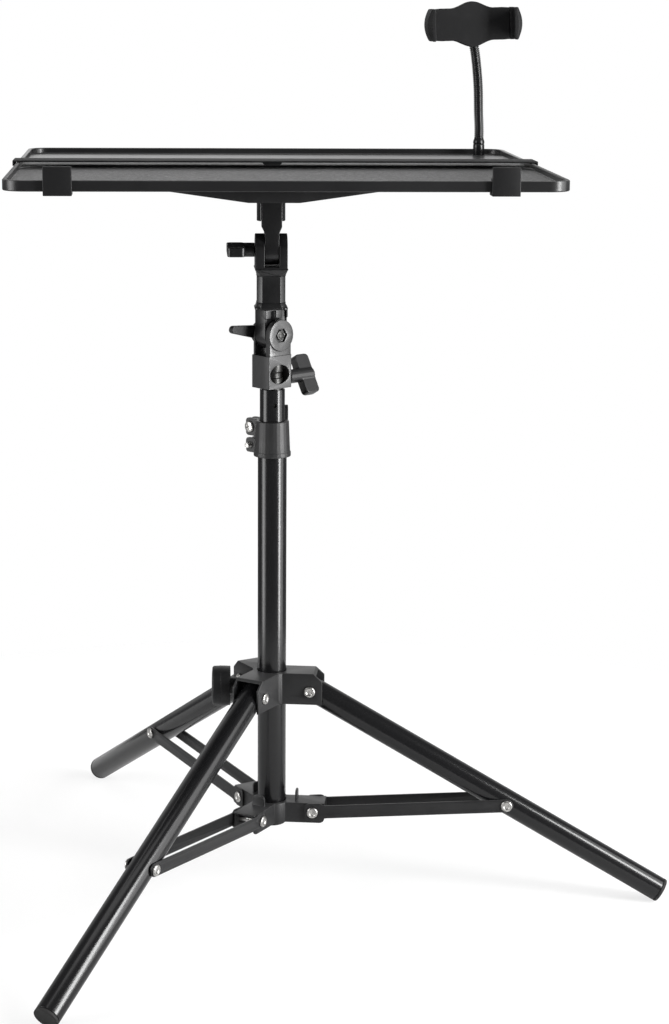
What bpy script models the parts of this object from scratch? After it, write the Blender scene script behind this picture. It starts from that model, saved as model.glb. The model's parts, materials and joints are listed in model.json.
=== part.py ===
"""Projector stand: a folding three-leg light stand with a tilting head, a rimmed tray and a phone holder.

All lengths are in metres, +Z is up and the tray's front edge faces -Y. Every sub-part is one named object.
Moving sub-parts hang from empties that stand on their joints' axes.
"""

import math

import bmesh
import bpy
from mathutils import Matrix, Vector

# Gaps between pieces
CLEAR = 0.0003
HOLE_CLEAR = 0.0003

# How far a cutter runs past a face, half the length of a long cutter, and how deep a fused form sinks in
OVERCUT = 0.0100
HOLE_REACH = 0.0300
SINK = 0.0010

# Tubes
LOWER_TUBE_R = 0.0110
LOWER_TUBE_WALL = 0.0012
MAST_R = 0.0095
MAST_WALL = 0.0012
LEG_R = 0.0095
LEG_WALL = 0.0012

# Legs and braces, seen from above: A to the front left, B to the right, C to the back
LEG_AZIMUTHS = {"a": -122.8, "b": -8.7, "c": 117.6}
LEG_LENGTH = 0.3175
LEG_DROP = math.radians(29.55)
LEG_TAIL = 0.0060
LEG_PIVOT_R = 0.0305
LEG_PIVOT_Z = LEG_LENGTH * math.sin(LEG_DROP) + LEG_R * math.cos(LEG_DROP)
BRACE_ALONG_LEG = 0.1773
HUB_PIVOT_R = 0.0332
HUB_PIVOT_Z = 0.0665
FOOT_CAP_FLANGE = 0.0026
FOOT_CAP_STEM = 0.0140

# Pins and rivets
PIN_R = 0.0025
PIN_HEAD_R = 0.0044
PIN_HEAD = 0.0013
BRACE_RIVET_R = 0.0020

# Brace straps
STRAP_HEIGHT = 0.0103
STRAP_EYE_HEIGHT = 0.0145
STRAP_EYE_LENGTH = 0.0150
STRAP_THICKNESS = 0.0015
STRAP_INNER = LEG_R + CLEAR

# Leg collar
COLLAR_WALL = 0.0017
COLLAR_TOP_WALL = 0.0020
COLLAR_CAVITY_HALF = LEG_R + 0.0004
COLLAR_ABOVE_PIVOT = 0.0144
COLLAR_BELOW_PIVOT = 0.0104
COLLAR_BEYOND_PIVOT = 0.0097
COLLAR_CHAMFER_LONG = 0.0066
COLLAR_CHAMFER_HIGH = 0.0061
COLLAR_SLEEVE_R = 0.0150
COLLAR_KNOB_AZIMUTH = 177.4
COLLAR_KNOB_ABOVE_PIVOT = 0.0010
COLLAR_BOSS_R = 0.0055
COLLAR_BOSS_REACH = 0.0215
KNOB_STUD_R = 0.0030
COLLAR_KNOB_R = 0.0155
COLLAR_KNOB_NEAR = 0.0323
COLLAR_KNOB_FAR = 0.0465

# Brace hub
HUB_WALL = 0.0018
HUB_HALF_WIDTH = STRAP_INNER - CLEAR
HUB_ABOVE_PIVOT = 0.0070
HUB_BELOW_PIVOT = 0.0091
HUB_BEYOND_PIVOT = 0.0093
HUB_SLEEVE_R = 0.0150
HUB_CAVITY_START = 0.0225
HUB_CORNER = 0.0040
HUB_LIP_R = 0.0190
HUB_LIP_THICKNESS = 0.0018
HUB_LIP_WIDTH = 0.0110
HUB_LIP_HEIGHT = 0.0082

# Column
LOWER_TUBE_TOP_Z = 0.3620
PLUG_FLANGE = 0.0027
PLUG_STEM = 0.0140
PLUG_FLANGE_R = 0.0110

# Mast clamp
CLAMP_BOTTOM_Z = LOWER_TUBE_TOP_Z - 0.0135
CLAMP_TOP_Z = LOWER_TUBE_TOP_Z + 0.0138
CLAMP_TOP_R = 0.0127
CLAMP_BOTTOM_R = 0.0142
CLAMP_EAR_AZIMUTH = 133.0
CLAMP_EAR_REACH = 0.0240
CLAMP_EAR_THICKNESS = 0.0034
CLAMP_SPLIT = 0.0024
CLAMP_UPPER_EAR = (LOWER_TUBE_TOP_Z, LOWER_TUBE_TOP_Z + 0.0135)
CLAMP_LOWER_EAR = (LOWER_TUBE_TOP_Z - 0.0130, LOWER_TUBE_TOP_Z - 0.0018)
CLAMP_BOLT_AT = 0.0196
CLAMP_SCREW_R = 0.0020
CLAMP_SCREW_HEAD_R = 0.0045
CLAMP_BOLT_PROUD = 0.0034
CLAMP_BOSS_X = (0.0020, 0.0089)
CLAMP_BOSS_Y = (0.0080, 0.0212)
CLAMP_BOSS_Z = (LOWER_TUBE_TOP_Z - 0.0095, LOWER_TUBE_TOP_Z + 0.0025)
LEVER_THICKNESS = 0.0035
LEVER_WIDTH = 0.0100
LEVER_ABOVE = 0.0262
LEVER_BELOW = 0.0065
LEVER_PIVOT_Y = 0.0166
LEVER_PIN_R = 0.0020

# Mast and its ends
MAST_BOTTOM_Z = 0.1150
MAST_TOP_Z = LOWER_TUBE_TOP_Z + 0.0380
MAST_HOLE_R = 0.0017
MAST_HOLE_Z = MAST_TOP_Z - 0.0115
MAST_HOLE_AZIMUTH = -80.0
SPIGOT_R = 0.0079
SPIGOT_IN_MAST = 0.0200
SPIGOT_IN_SOCKET = 0.0215

# Socket block under the lower tilt joint
HEAD_TURN = -51.2
SOCKET_FRONT = 0.0092
SOCKET_BACK = -0.0098
SOCKET_RIGHT = 0.0110
SOCKET_LEFT = -0.0120
SOCKET_TAPER_START = 0.0027
SOCKET_TAPER_END = -0.0113
SOCKET_BOTTOM_Z = MAST_TOP_Z + 0.0012
SOCKET_TOP_Z = SOCKET_BOTTOM_Z + 0.0250
LOWER_TILT_Z = SOCKET_TOP_Z + 0.0154
SOCKET_FACE_STEP = 0.0001
TILT_EAR_INNER = 0.0045
REAR_EAR_INNER = -0.0078
TILT_EAR_HALF = 0.0106
TILT_DISC_R = 0.0119
TILT_DISC_PROUD = 0.0012
TILT_BOLT_R = 0.0028
TILT_BOLT_HEAD_R = 0.0039
HEX_POCKET_R = 0.0055
HEX_POCKET_DEPTH = 0.0020
SIDE_HOLE_WIDTH = 0.0190
SIDE_HOLE_HEIGHT = 0.0142
SIDE_HOLE_Y = -0.0005
SIDE_HOLE_Z = SOCKET_BOTTOM_Z + 0.0108
SOCKET_KNOB_Z = SOCKET_BOTTOM_Z + 0.0061

# Winged knobs
WING_LENGTH = 0.0314
WING_WIDTH = 0.0070
WING_DEPTH = 0.0132
WING_HUB_R = 0.0054
SOCKET_KNOB_STUD = 0.0046
SOCKET_KNOB_TURN = -29.0
FORK_KNOB_HUB = 0.0074
SOCKET_KNOB_HUB = 0.0108
FORK_KNOB_TURN = 88.0
WING_STUD_R = 0.0025

# Knuckle of the lower tilt joint, which fills the gap between the block's two ears
KNUCKLE_BACK = REAR_EAR_INNER + CLEAR
KNUCKLE_HEAD_STEP = 0.0010
KNUCKLE_HALF = 0.0110
KNUCKLE_TOP_Z = LOWER_TILT_Z + 0.0193
KNUCKLE_GROOVE = 0.0046
KNUCKLE_GROOVE_DEPTH = 0.0022
KNUCKLE_GROOVE_Y = (-0.0034, 0.0074)
TILT_LEVER_LENGTH = 0.0311
TILT_LEVER_HUB_R = 0.0088
TILT_LEVER_DEPTH = 0.0050
TILT_LEVER_RISE = 9.0
TILT_LEVER_ROOT_HALF = 0.0056
TILT_LEVER_TIP_R = 0.0030

# Fork of the upper tilt joint
SWIVEL_PIN_R = 0.0045
SWIVEL_PIN = 0.0090
FLANGE_HALF = 0.0124
FLANGE_THICKNESS = 0.0015
FORK_X = -0.0012
FORK_SLOT_X = -0.0008
FORK_HALF_WIDTH = 0.0121
FORK_BODY_HALF = 0.0106
FORK_FLARE = 0.0035
FORK_HALF_DEPTH = 0.0095
FORK_CHAMFER = 0.0038
FORK_SHOULDER_Z = KNUCKLE_TOP_Z + 0.0254
FORK_SHOULDER_RISE = 0.0052
UPPER_TILT_Z = FORK_SHOULDER_Z + 0.0189
UPPER_TILT_REST = math.radians(-0.46)
FORK_EAR_R = 0.0123
FORK_SLOT_HALF = 0.0056
FORK_SLOT_FLOOR_Z = UPPER_TILT_Z - 0.0120

# Neck and its sleeve
TONGUE_R = 0.0112
NECK_X = (-0.0086, 0.0066)
NECK_Y = (-0.0112, -0.0030)
NECK_BOTTOM_Z = UPPER_TILT_Z + 0.0138
NECK_STEM_R = 0.0060
NECK_SLEEVE_R = 0.0107
NECK_SLEEVE_X = -0.0012
NECK_SLEEVE_BOTTOM_Z = UPPER_TILT_Z + 0.0218

# Tray and bracket
TRAY_WIDTH = 0.3864
TRAY_FRONT = -0.1692
TRAY_BACK = 0.1849
TRAY_OFFSET_X = 0.0036
TRAY_HEIGHT = 0.0076
TRAY_RIM = 0.0030
TRAY_CORNER = 0.0160
TRAY_FLOOR_DEPTH = 0.0045
RIDGE_DEPTH = 0.0029
RIDGE_FRONT = 0.0239
RIDGE_BACK = 0.0637
RECESS_BACK_CORNER = 0.0440
BRACKET_BOTTOM_Z = UPPER_TILT_Z + 0.0372
TRAY_TOP_Z = BRACKET_BOTTOM_Z + 0.0267
BRACKET_FLAT_HALF = 0.0190
BRACKET_SLOPE = math.tan(math.radians(8.0))
BRACKET_ARM = 0.0026
BRACKET_ARM_REACH = 0.1180
BRACKET_REACH = BRACKET_ARM_REACH + 0.0170
BRACKET_BODY_HALF = 0.0600
BRACKET_HALF_DEPTH = 0.0300
BRACKET_SCREW_X = BRACKET_ARM_REACH + 0.0100
BRACKET_SCREW_Y = 0.0200
SCREW_R = 0.0018
SCREW_HEAD_R = 0.0036
SCREW_HEAD = 0.0020
SCREW_BITE = 0.0021

# Cross bar over the tray
BAR_FRONT = 0.0049
BAR_WIDTH = 0.0300
BAR_THICKNESS = 0.0012
BAR_OVERHANG = 0.0026
BAR_LEG = 0.0040
BAR_TAB_WIDTH = 0.0140
BAR_TAB = 0.0026
BAR_TAB_DEPTH = 0.0100

# Edge clips
CLIP_WIDTH = 0.0194
CLIP_LEFT_INSET = 0.0377
CLIP_RIGHT_INSET = 0.0460
CLIP_LEFT_X = TRAY_OFFSET_X - TRAY_WIDTH / 2 + CLIP_LEFT_INSET
CLIP_RIGHT_X = TRAY_OFFSET_X + TRAY_WIDTH / 2 - CLIP_RIGHT_INSET
CLIP_SHEET = 0.0024
CLIP_ABOVE_RIM = 0.0093
CLIP_FOOT = 0.0145
CLIP_LIP_DROP = 0.0036

# Gooseneck
NECK_BASE_SIDE_INSET = 0.0211
NECK_BASE_BACK_INSET = 0.0165
NECK_BASE_X = TRAY_OFFSET_X + TRAY_WIDTH / 2 - NECK_BASE_SIDE_INSET
NECK_BASE_Y = TRAY_BACK - NECK_BASE_BACK_INSET
SLEEVE_R = 0.0046
SLEEVE_HEIGHT = 0.0138
SLEEVE_SEAT_DEPTH = 0.0006
SLEEVE_TAPER = 0.0028
SLEEVE_STUD_R = 0.0030
SLEEVE_NUT_R = 0.0055
SLEEVE_NUT = 0.0032
GOOSENECK_R = 0.0039
GOOSENECK_GROOVE = 0.0006
GOOSENECK_PITCH = 0.0016
NECK_LEAN = math.radians(15.0)
GOOSENECK_END = 0.0107
GOOSENECK_ROUTE = (
    (0.0000, 0.0000, 0.0000),
    (0.0000, 0.0000, 0.0075),
    (-0.0006, 0.0010, 0.0215),
    (-0.0009, 0.0033, 0.0395),
    (-0.0021, 0.0060, 0.0565),
    (-0.0040, 0.0078, 0.0710),
)

# Phone holder, measured from the centre of its ball
HOLDER_FRONT = -0.0172
HOLDER_BACK = -0.0057
HOLDER_HEIGHT = 0.0254
HOLDER_BODY_HALF = 0.0300
HOLDER_TILT = math.radians(1.9)
BULGE_HALF_WIDTH = 0.0260
BULGE_RISE = 0.0052
PAD_HALF_WIDTH = 0.0260
PAD_PROUD = 0.0010
BALL_R = 0.0050
BALL_REACH = 0.0108
BALL_RISE = 0.0098
SOCKET_CUP_R = 0.0085
SOCKET_CUP_BACK = 0.0028
SOCKET_CUP_MOUTH_R = 0.0046
BALL_NECK_R = 0.0021
ELBOW_R = 0.0046
ELBOW_HEIGHT = 0.0125
JAW_WIDTH = 0.0075
JAW_CORNER = 0.0055
JAW_REACH = 0.0180
JAW_WALL = 0.0030
JAW_LIP = 0.0034
JAW_TONGUE = 0.0200
JAW_TONGUE_HEIGHT = 0.0100
JAW_TONGUE_THICKNESS = 0.0040

ROUND = 28
SMALL_ROUND = 16

AXIS_TURNS = {
    "X": Matrix.Rotation(math.radians(90), 4, "Y"),
    "Y": Matrix.Rotation(math.radians(-90), 4, "X"),
    "Z": Matrix.Identity(4),
}
PLATE_TURNS = {
    "XY": Matrix.Identity(4),
    "XZ": Matrix.Rotation(math.radians(90), 4, "X"),
    "YZ": Matrix(((0, 0, 1, 0), (1, 0, 0, 0), (0, 1, 0, 0), (0, 0, 0, 1))),
}


def clear_scene():
    for old in list(bpy.data.objects):
        bpy.data.objects.remove(old, do_unlink=True)


def make_collections():
    parts = bpy.data.collections.new("projector_stand")
    guides = bpy.data.collections.new("cutters")
    for group in (parts, guides):
        bpy.context.scene.collection.children.link(group)
    return parts, guides


def make_material(name, colour, roughness, metallic=0.0):
    material = bpy.data.materials.new(name)
    material.use_nodes = True
    shader = material.node_tree.nodes["Principled BSDF"]
    shader.inputs["Base Color"].default_value = (*colour, 1.0)
    shader.inputs["Roughness"].default_value = roughness
    shader.inputs["Metallic"].default_value = metallic
    return material


clear_scene()
PARTS, GUIDES = make_collections()
GLOSS_BLACK = make_material("gloss_black_paint", (0.012, 0.012, 0.013), 0.28)
SATIN_BLACK = make_material("satin_black_sheet", (0.022, 0.022, 0.023), 0.45)
MATTE_BLACK = make_material("matte_black_plastic", (0.016, 0.016, 0.017), 0.60)
GREY_PLASTIC = make_material("grey_plastic", (0.110, 0.110, 0.112), 0.50)
TRAY_GREY = make_material("pebbled_tray", (0.060, 0.060, 0.062), 0.55)
NICKEL = make_material("bright_nickel", (0.720, 0.710, 0.690), 0.25, 1.0)
RUBBER = make_material("foot_rubber", (0.020, 0.020, 0.020), 0.80)


def empty(name, parent, location=(0.0, 0.0, 0.0), turn=(0.0, 0.0, 0.0)):
    """An empty on a joint's axis. turn holds rotations about X, Y and Z in radians."""
    frame = bpy.data.objects.new(name, None)
    frame.empty_display_size = 0.02
    PARTS.objects.link(frame)
    frame.parent = parent
    frame.location = location
    frame.rotation_euler = turn
    return frame


def add(name, mesh, parent, material):
    piece = bpy.data.objects.new(name, mesh)
    PARTS.objects.link(piece)
    piece.parent = parent
    if material is not None:
        mesh.materials.append(material)
    return piece


def finish_mesh(name, bm, smooth=True):
    mesh = bpy.data.meshes.new(name)
    bm.to_mesh(mesh)
    bm.free()
    if smooth:
        mesh.shade_smooth()
        mesh.set_sharp_from_angle(angle=math.radians(35))
    return mesh


def cylinder(
    name, parent, material, radius, low, high, axis="Z", centre=(0.0, 0.0, 0.0), sides=ROUND, top=None
):
    """A cylinder or cone from low to high along an axis through centre."""
    bm = bmesh.new()
    place = Matrix.Translation(Vector(centre)) @ AXIS_TURNS[axis]
    place = place @ Matrix.Translation((0.0, 0.0, (low + high) / 2))
    end = radius if top is None else top
    bmesh.ops.create_cone(
        bm, cap_ends=True, segments=sides, radius1=radius, radius2=end, depth=high - low, matrix=place
    )
    return add(name, finish_mesh(name, bm), parent, material)


def hull(name, parent, material, points):
    """The smallest closed form with flat faces round a set of points."""
    bm = bmesh.new()
    for place in points:
        bm.verts.new(place)
    bmesh.ops.convex_hull(bm, input=bm.verts)
    bmesh.ops.recalc_face_normals(bm, faces=bm.faces)
    return add(name, finish_mesh(name, bm, smooth=False), parent, material)


def box(name, parent, material, low, high):
    bm = bmesh.new()
    size = [h - l for l, h in zip(low, high)]
    middle = [(h + l) / 2 for l, h in zip(low, high)]
    place = Matrix.Translation(middle) @ Matrix.Diagonal((*size, 1.0))
    bmesh.ops.create_cube(bm, size=1.0, matrix=place)
    return add(name, finish_mesh(name, bm, smooth=False), parent, material)


def ball(name, parent, material, radius, centre):
    bm = bmesh.new()
    bmesh.ops.create_uvsphere(
        bm, u_segments=SMALL_ROUND, v_segments=12, radius=radius, matrix=Matrix.Translation(centre)
    )
    return add(name, finish_mesh(name, bm), parent, material)


def arc(centre, radius, start, end, count):
    """Points along an arc, with angles in degrees."""
    points = []
    for i in range(count + 1):
        angle = math.radians(start + (end - start) * i / count)
        points.append((centre[0] + radius * math.cos(angle), centre[1] + radius * math.sin(angle)))
    return points


def rounded_outline(low, high, radii, count=6):
    """A rectangle with a radius for each corner, from the front left one round to the back left one."""
    front_left, front_right, back_right, back_left = radii
    corners = (
        ((low[0] + front_left, low[1] + front_left), front_left, 180),
        ((high[0] - front_right, low[1] + front_right), front_right, 270),
        ((high[0] - back_right, high[1] - back_right), back_right, 0),
        ((low[0] + back_left, high[1] - back_left), back_left, 90),
    )
    points = []
    for centre, radius, start in corners:
        points += arc(centre, radius, start, start + 90, count)
    return points


def plate(name, parent, material, outline, low, high, plane="XY"):
    """A flat outline given in a plane, filled and thickened from low to high across that plane."""
    curve = bpy.data.curves.new(name, "CURVE")
    curve.dimensions = "2D"
    curve.fill_mode = "BOTH"
    curve.extrude = (high - low) / 2
    spline = curve.splines.new("POLY")
    spline.points.add(len(outline) - 1)
    for point, (u, v) in zip(spline.points, outline):
        point.co = (u, v, 0.0, 1.0)
    spline.use_cyclic_u = True
    drawn = bpy.data.objects.new(name + "_outline", curve)
    bpy.context.scene.collection.objects.link(drawn)
    bpy.context.view_layer.update()
    mesh = bpy.data.meshes.new_from_object(drawn.evaluated_get(bpy.context.evaluated_depsgraph_get()))
    bpy.data.objects.remove(drawn, do_unlink=True)
    bm = bmesh.new()
    bm.from_mesh(mesh)
    bpy.data.meshes.remove(mesh)
    bmesh.ops.remove_doubles(bm, verts=bm.verts, dist=0.00001)
    across = (low + high) / 2 if plane != "XZ" else -(low + high) / 2
    bmesh.ops.transform(bm, matrix=PLATE_TURNS[plane] @ Matrix.Translation((0, 0, across)), verts=bm.verts)
    bmesh.ops.recalc_face_normals(bm, faces=bm.faces)
    return add(name, finish_mesh(name, bm), parent, material)


def turned(name, parent, material, profile, closed=False, axis="Z", centre=(0.0, 0.0, 0.0), sides=ROUND):
    """A profile of (radius, height) points, run down its outer side, turned round an axis."""
    mesh = bpy.data.meshes.new(name)
    edges = [(i, i + 1) for i in range(len(profile) - 1)]
    if closed:
        edges.append((len(profile) - 1, 0))
    mesh.from_pydata([(r, 0.0, z) for r, z in profile], edges, [])
    piece = add(name, mesh, parent, material)
    piece.location = centre
    piece.rotation_euler = AXIS_TURNS[axis].to_euler()
    screw = piece.modifiers.new("turn", "SCREW")
    screw.axis = "Z"
    screw.steps = sides
    screw.render_steps = sides
    screw.use_merge_vertices = True
    screw.merge_threshold = 0.00001
    screw.use_smooth_shade = True
    return piece


def ring_profile(outer, inner, low, high):
    return [(outer, high), (outer, low), (inner, low), (inner, high)]


def hide_guide(guide):
    PARTS.objects.unlink(guide)
    GUIDES.objects.link(guide)
    guide.hide_render = True
    guide.display_type = "WIRE"


def combine(piece, operation, others):
    for other in others:
        step = piece.modifiers.new(operation.lower(), "BOOLEAN")
        step.operation = operation
        step.object = other
        step.solver = "EXACT"
        hide_guide(other)
    return piece


def fuse(piece, *others):
    return combine(piece, "UNION", others)


def cut(piece, *others):
    return combine(piece, "DIFFERENCE", others)


def turned_about_z(degrees):
    return (0.0, 0.0, math.radians(degrees))


def headed_pin(name, parent, radius, half_length, centre=(0.0, 0.0, 0.0)):
    """A pin along Y with a domed head at each end. half_length runs from the middle to a head's face."""
    dome = [
        (0.0, half_length + PIN_HEAD),
        (PIN_HEAD_R * 0.72, half_length + PIN_HEAD * 0.80),
        (PIN_HEAD_R, half_length + PIN_HEAD * 0.20),
        (PIN_HEAD_R, half_length),
        (radius, half_length),
    ]
    profile = dome + [(r, -z) for r, z in reversed(dome)]
    return turned(name, parent, NICKEL, profile, axis="Y", centre=centre, sides=SMALL_ROUND)


def pin_hole(name, parent, radius, reach, centre=(0.0, 0.0, 0.0)):
    return cylinder(name, parent, None, radius + HOLE_CLEAR, -reach, reach, "Y", centre, SMALL_ROUND)


def build_lower_tube(column):
    bottom = HUB_PIVOT_Z - HUB_BELOW_PIVOT
    inner = LOWER_TUBE_R - LOWER_TUBE_WALL
    turned(
        "lower_tube", column, GLOSS_BLACK, ring_profile(LOWER_TUBE_R, inner, bottom, LOWER_TUBE_TOP_Z),
        closed=True,
    )
    stem_r = inner - CLEAR
    flange_top = bottom - CLEAR
    profile = [
        (0.0, bottom + PLUG_STEM),
        (stem_r, bottom + PLUG_STEM),
        (stem_r, flange_top),
        (PLUG_FLANGE_R, flange_top),
        (PLUG_FLANGE_R, flange_top - PLUG_FLANGE),
        (0.0, flange_top - PLUG_FLANGE),
    ]
    turned("column_plug", column, RUBBER, profile)


def build_brace_hub(column):
    low = HUB_PIVOT_Z - HUB_BELOW_PIVOT
    high = HUB_PIVOT_Z + HUB_ABOVE_PIVOT
    end = HUB_PIVOT_R + HUB_BEYOND_PIVOT
    hub = cylinder("brace_hub", column, SATIN_BLACK, HUB_SLEEVE_R, low, high)
    cutters = []
    for leg, azimuth in LEG_AZIMUTHS.items():
        turn = turned_about_z(azimuth)
        corner = end - HUB_CORNER
        corner_arc = arc((corner, low + HUB_CORNER), HUB_CORNER, -90, 0, 4)
        outline = [(0.0, low), *corner_arc, (end, high), (0.0, high)]
        arm = plate("hub_arm_" + leg, column, None, outline, -HUB_HALF_WIDTH, HUB_HALF_WIDTH, "XZ")
        half_lip = HUB_LIP_WIDTH / 2
        lip_top = high + HUB_LIP_HEIGHT
        lip_outline = [
            (-half_lip, high - SINK),
            (half_lip, high - SINK),
            *arc((half_lip - 0.0030, lip_top - 0.0030), 0.0030, 0, 90, 4),
            *arc((0.0030 - half_lip, lip_top - 0.0030), 0.0030, 90, 180, 4),
        ]
        lip = plate(
            "hub_lip_" + leg, column, None, lip_outline, HUB_LIP_R, HUB_LIP_R + HUB_LIP_THICKNESS, "YZ"
        )
        cavity_half = HUB_HALF_WIDTH - HUB_WALL
        cavity = box(
            "hub_cavity_" + leg,
            column,
            None,
            (HUB_CAVITY_START, -cavity_half, low - OVERCUT),
            (end + OVERCUT, cavity_half, high - HUB_WALL),
        )
        hole = pin_hole(
            "hub_hole_" + leg, column, PIN_R, HUB_HALF_WIDTH + OVERCUT, (HUB_PIVOT_R, 0.0, HUB_PIVOT_Z)
        )
        for guide in (arm, lip, cavity, hole):
            guide.rotation_euler = turn
        fuse(hub, arm, lip)
        cutters += [cavity, hole]
    bore = cylinder("hub_bore", column, None, LOWER_TUBE_R + CLEAR, low - OVERCUT, high + OVERCUT)
    cut(hub, *cutters, bore)


def build_leg_collar(collar):
    """The collar's frame stands on the column's axis at the height of the leg pivots."""
    low = -COLLAR_BELOW_PIVOT
    high = COLLAR_ABOVE_PIVOT
    end = LEG_PIVOT_R + COLLAR_BEYOND_PIVOT
    half_width = COLLAR_CAVITY_HALF + COLLAR_WALL
    piece = cylinder("leg_collar", collar, SATIN_BLACK, COLLAR_SLEEVE_R, low, high)
    cutters = []
    for leg, azimuth in LEG_AZIMUTHS.items():
        outline = [
            (0.0, low),
            (end, low),
            (end, high - COLLAR_CHAMFER_HIGH),
            (end - COLLAR_CHAMFER_LONG, high),
            (0.0, high),
        ]
        arm = plate("collar_arm_" + leg, collar, None, outline, -half_width, half_width, "XZ")
        cavity = box(
            "collar_cavity_" + leg,
            collar,
            None,
            (COLLAR_SLEEVE_R, -COLLAR_CAVITY_HALF, low - OVERCUT),
            (end + OVERCUT, COLLAR_CAVITY_HALF, high - COLLAR_TOP_WALL),
        )
        hole = pin_hole("collar_hole_" + leg, collar, PIN_R, half_width + OVERCUT, (LEG_PIVOT_R, 0.0, 0.0))
        for guide in (arm, cavity, hole):
            guide.rotation_euler = turned_about_z(azimuth)
        fuse(piece, arm)
        cutters += [cavity, hole]
    boss = cylinder(
        "collar_boss", collar, None, COLLAR_BOSS_R, 0.0, COLLAR_BOSS_REACH, "X",
        (0.0, 0.0, COLLAR_KNOB_ABOVE_PIVOT), SMALL_ROUND,
    )
    stud_hole = cylinder(
        "collar_stud_hole", collar, None, KNOB_STUD_R + HOLE_CLEAR, 0.0, COLLAR_BOSS_REACH + OVERCUT, "X",
        (0.0, 0.0, COLLAR_KNOB_ABOVE_PIVOT), SMALL_ROUND,
    )
    for guide in (boss, stud_hole):
        guide.rotation_euler = turned_about_z(COLLAR_KNOB_AZIMUTH)
    fuse(piece, boss)
    bore = cylinder("collar_bore", collar, None, LOWER_TUBE_R + CLEAR, low - OVERCUT, high + OVERCUT)
    cut(piece, *cutters, stud_hole, bore)


def build_collar_knob(knob):
    """A round knob along its own +X, with its stud running back to the tube."""
    near = COLLAR_KNOB_NEAR
    far = COLLAR_KNOB_FAR
    tip = LOWER_TUBE_R + CLEAR
    profile = [
        (0.0, far),
        (COLLAR_KNOB_R * 0.55, far - 0.0004),
        (COLLAR_KNOB_R * 0.90, far - 0.0028),
        (COLLAR_KNOB_R, far - 0.0070),
        (COLLAR_KNOB_R, near),
        (COLLAR_KNOB_R * 0.45, near),
        (COLLAR_KNOB_R * 0.40, near - 0.0060),
        (KNOB_STUD_R, near - 0.0060),
        (KNOB_STUD_R, tip),
        (0.0, tip),
    ]
    turned("collar_knob", knob, MATTE_BLACK, profile, axis="X")


def build_leg(name, leg, root):
    """A leg along its own +X, from its pivot to its cap."""
    cap_start = LEG_LENGTH - FOOT_CAP_FLANGE
    inner = LEG_R - LEG_WALL
    tube = turned(
        "leg_tube_" + name, leg, GLOSS_BLACK, ring_profile(LEG_R, inner, -LEG_TAIL, cap_start - CLEAR),
        closed=True,
        axis="X",
    )
    cut(tube, pin_hole("leg_hole_" + name, leg, PIN_R, LEG_R + OVERCUT))
    stem_r = inner - CLEAR
    profile = [
        (0.0, LEG_LENGTH),
        (LEG_R, LEG_LENGTH),
        (LEG_R, cap_start),
        (stem_r, cap_start),
        (stem_r, cap_start - FOOT_CAP_STEM),
        (0.0, cap_start - FOOT_CAP_STEM),
    ]
    turned("leg_foot_" + name, leg, RUBBER, profile, axis="X")


def strap_outline(length):
    """A flat bar with a taller eye at its hub end."""
    eye = STRAP_EYE_HEIGHT / 2
    half = STRAP_HEIGHT / 2
    corner = 0.0035
    eye_back = STRAP_EYE_LENGTH * 0.42
    eye_front = STRAP_EYE_LENGTH - eye_back
    return [
        *arc((-eye_back + corner, -eye + corner), corner, 180, 270, 3),
        *arc((eye_front - corner, -eye + corner), corner, 270, 330, 2),
        (eye_front + 0.0020, -half),
        *arc((length, 0.0), half, -90, 90, 8),
        (eye_front + 0.0020, half),
        *arc((eye_front - corner, eye - corner), corner, 30, 90, 2),
        *arc((-eye_back + corner, eye - corner), corner, 90, 180, 3),
    ]


def build_brace(name, brace, length):
    """Two straps along the brace's own +X, with a rivet at the leg end of each."""
    for side, label in ((1, "left"), (-1, "right")):
        inner = STRAP_INNER * side
        outer = (STRAP_INNER + STRAP_THICKNESS) * side
        low = min(inner, outer)
        high = max(inner, outer)
        key = name + "_" + label
        strap = plate("brace_strap_" + key, brace, SATIN_BLACK, strap_outline(length), low, high, "XZ")
        hub_hole = pin_hole("strap_hub_hole_" + key, brace, PIN_R, STRAP_INNER + OVERCUT)
        leg_hole = pin_hole(
            "strap_leg_hole_" + key, brace, BRACE_RIVET_R, STRAP_INNER + OVERCUT, (length, 0.0, 0.0)
        )
        cut(strap, hub_hole, leg_hole)
        seat = STRAP_INNER + STRAP_THICKNESS + CLEAR
        profile = [
            (0.0, seat + PIN_HEAD),
            (PIN_HEAD_R * 0.72, seat + PIN_HEAD * 0.80),
            (PIN_HEAD_R, seat + PIN_HEAD * 0.20),
            (PIN_HEAD_R, seat),
            (BRACE_RIVET_R, seat),
            (BRACE_RIVET_R, STRAP_INNER + 0.0001),
            (0.0, STRAP_INNER + 0.0001),
        ]
        rivet = turned(
            "brace_rivet_" + key, brace, NICKEL, profile, axis="Y", centre=(length, 0.0, 0.0),
            sides=SMALL_ROUND,
        )
        if side < 0:
            rivet.rotation_euler = Matrix.Rotation(math.radians(90), 4, "X").to_euler()


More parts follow.
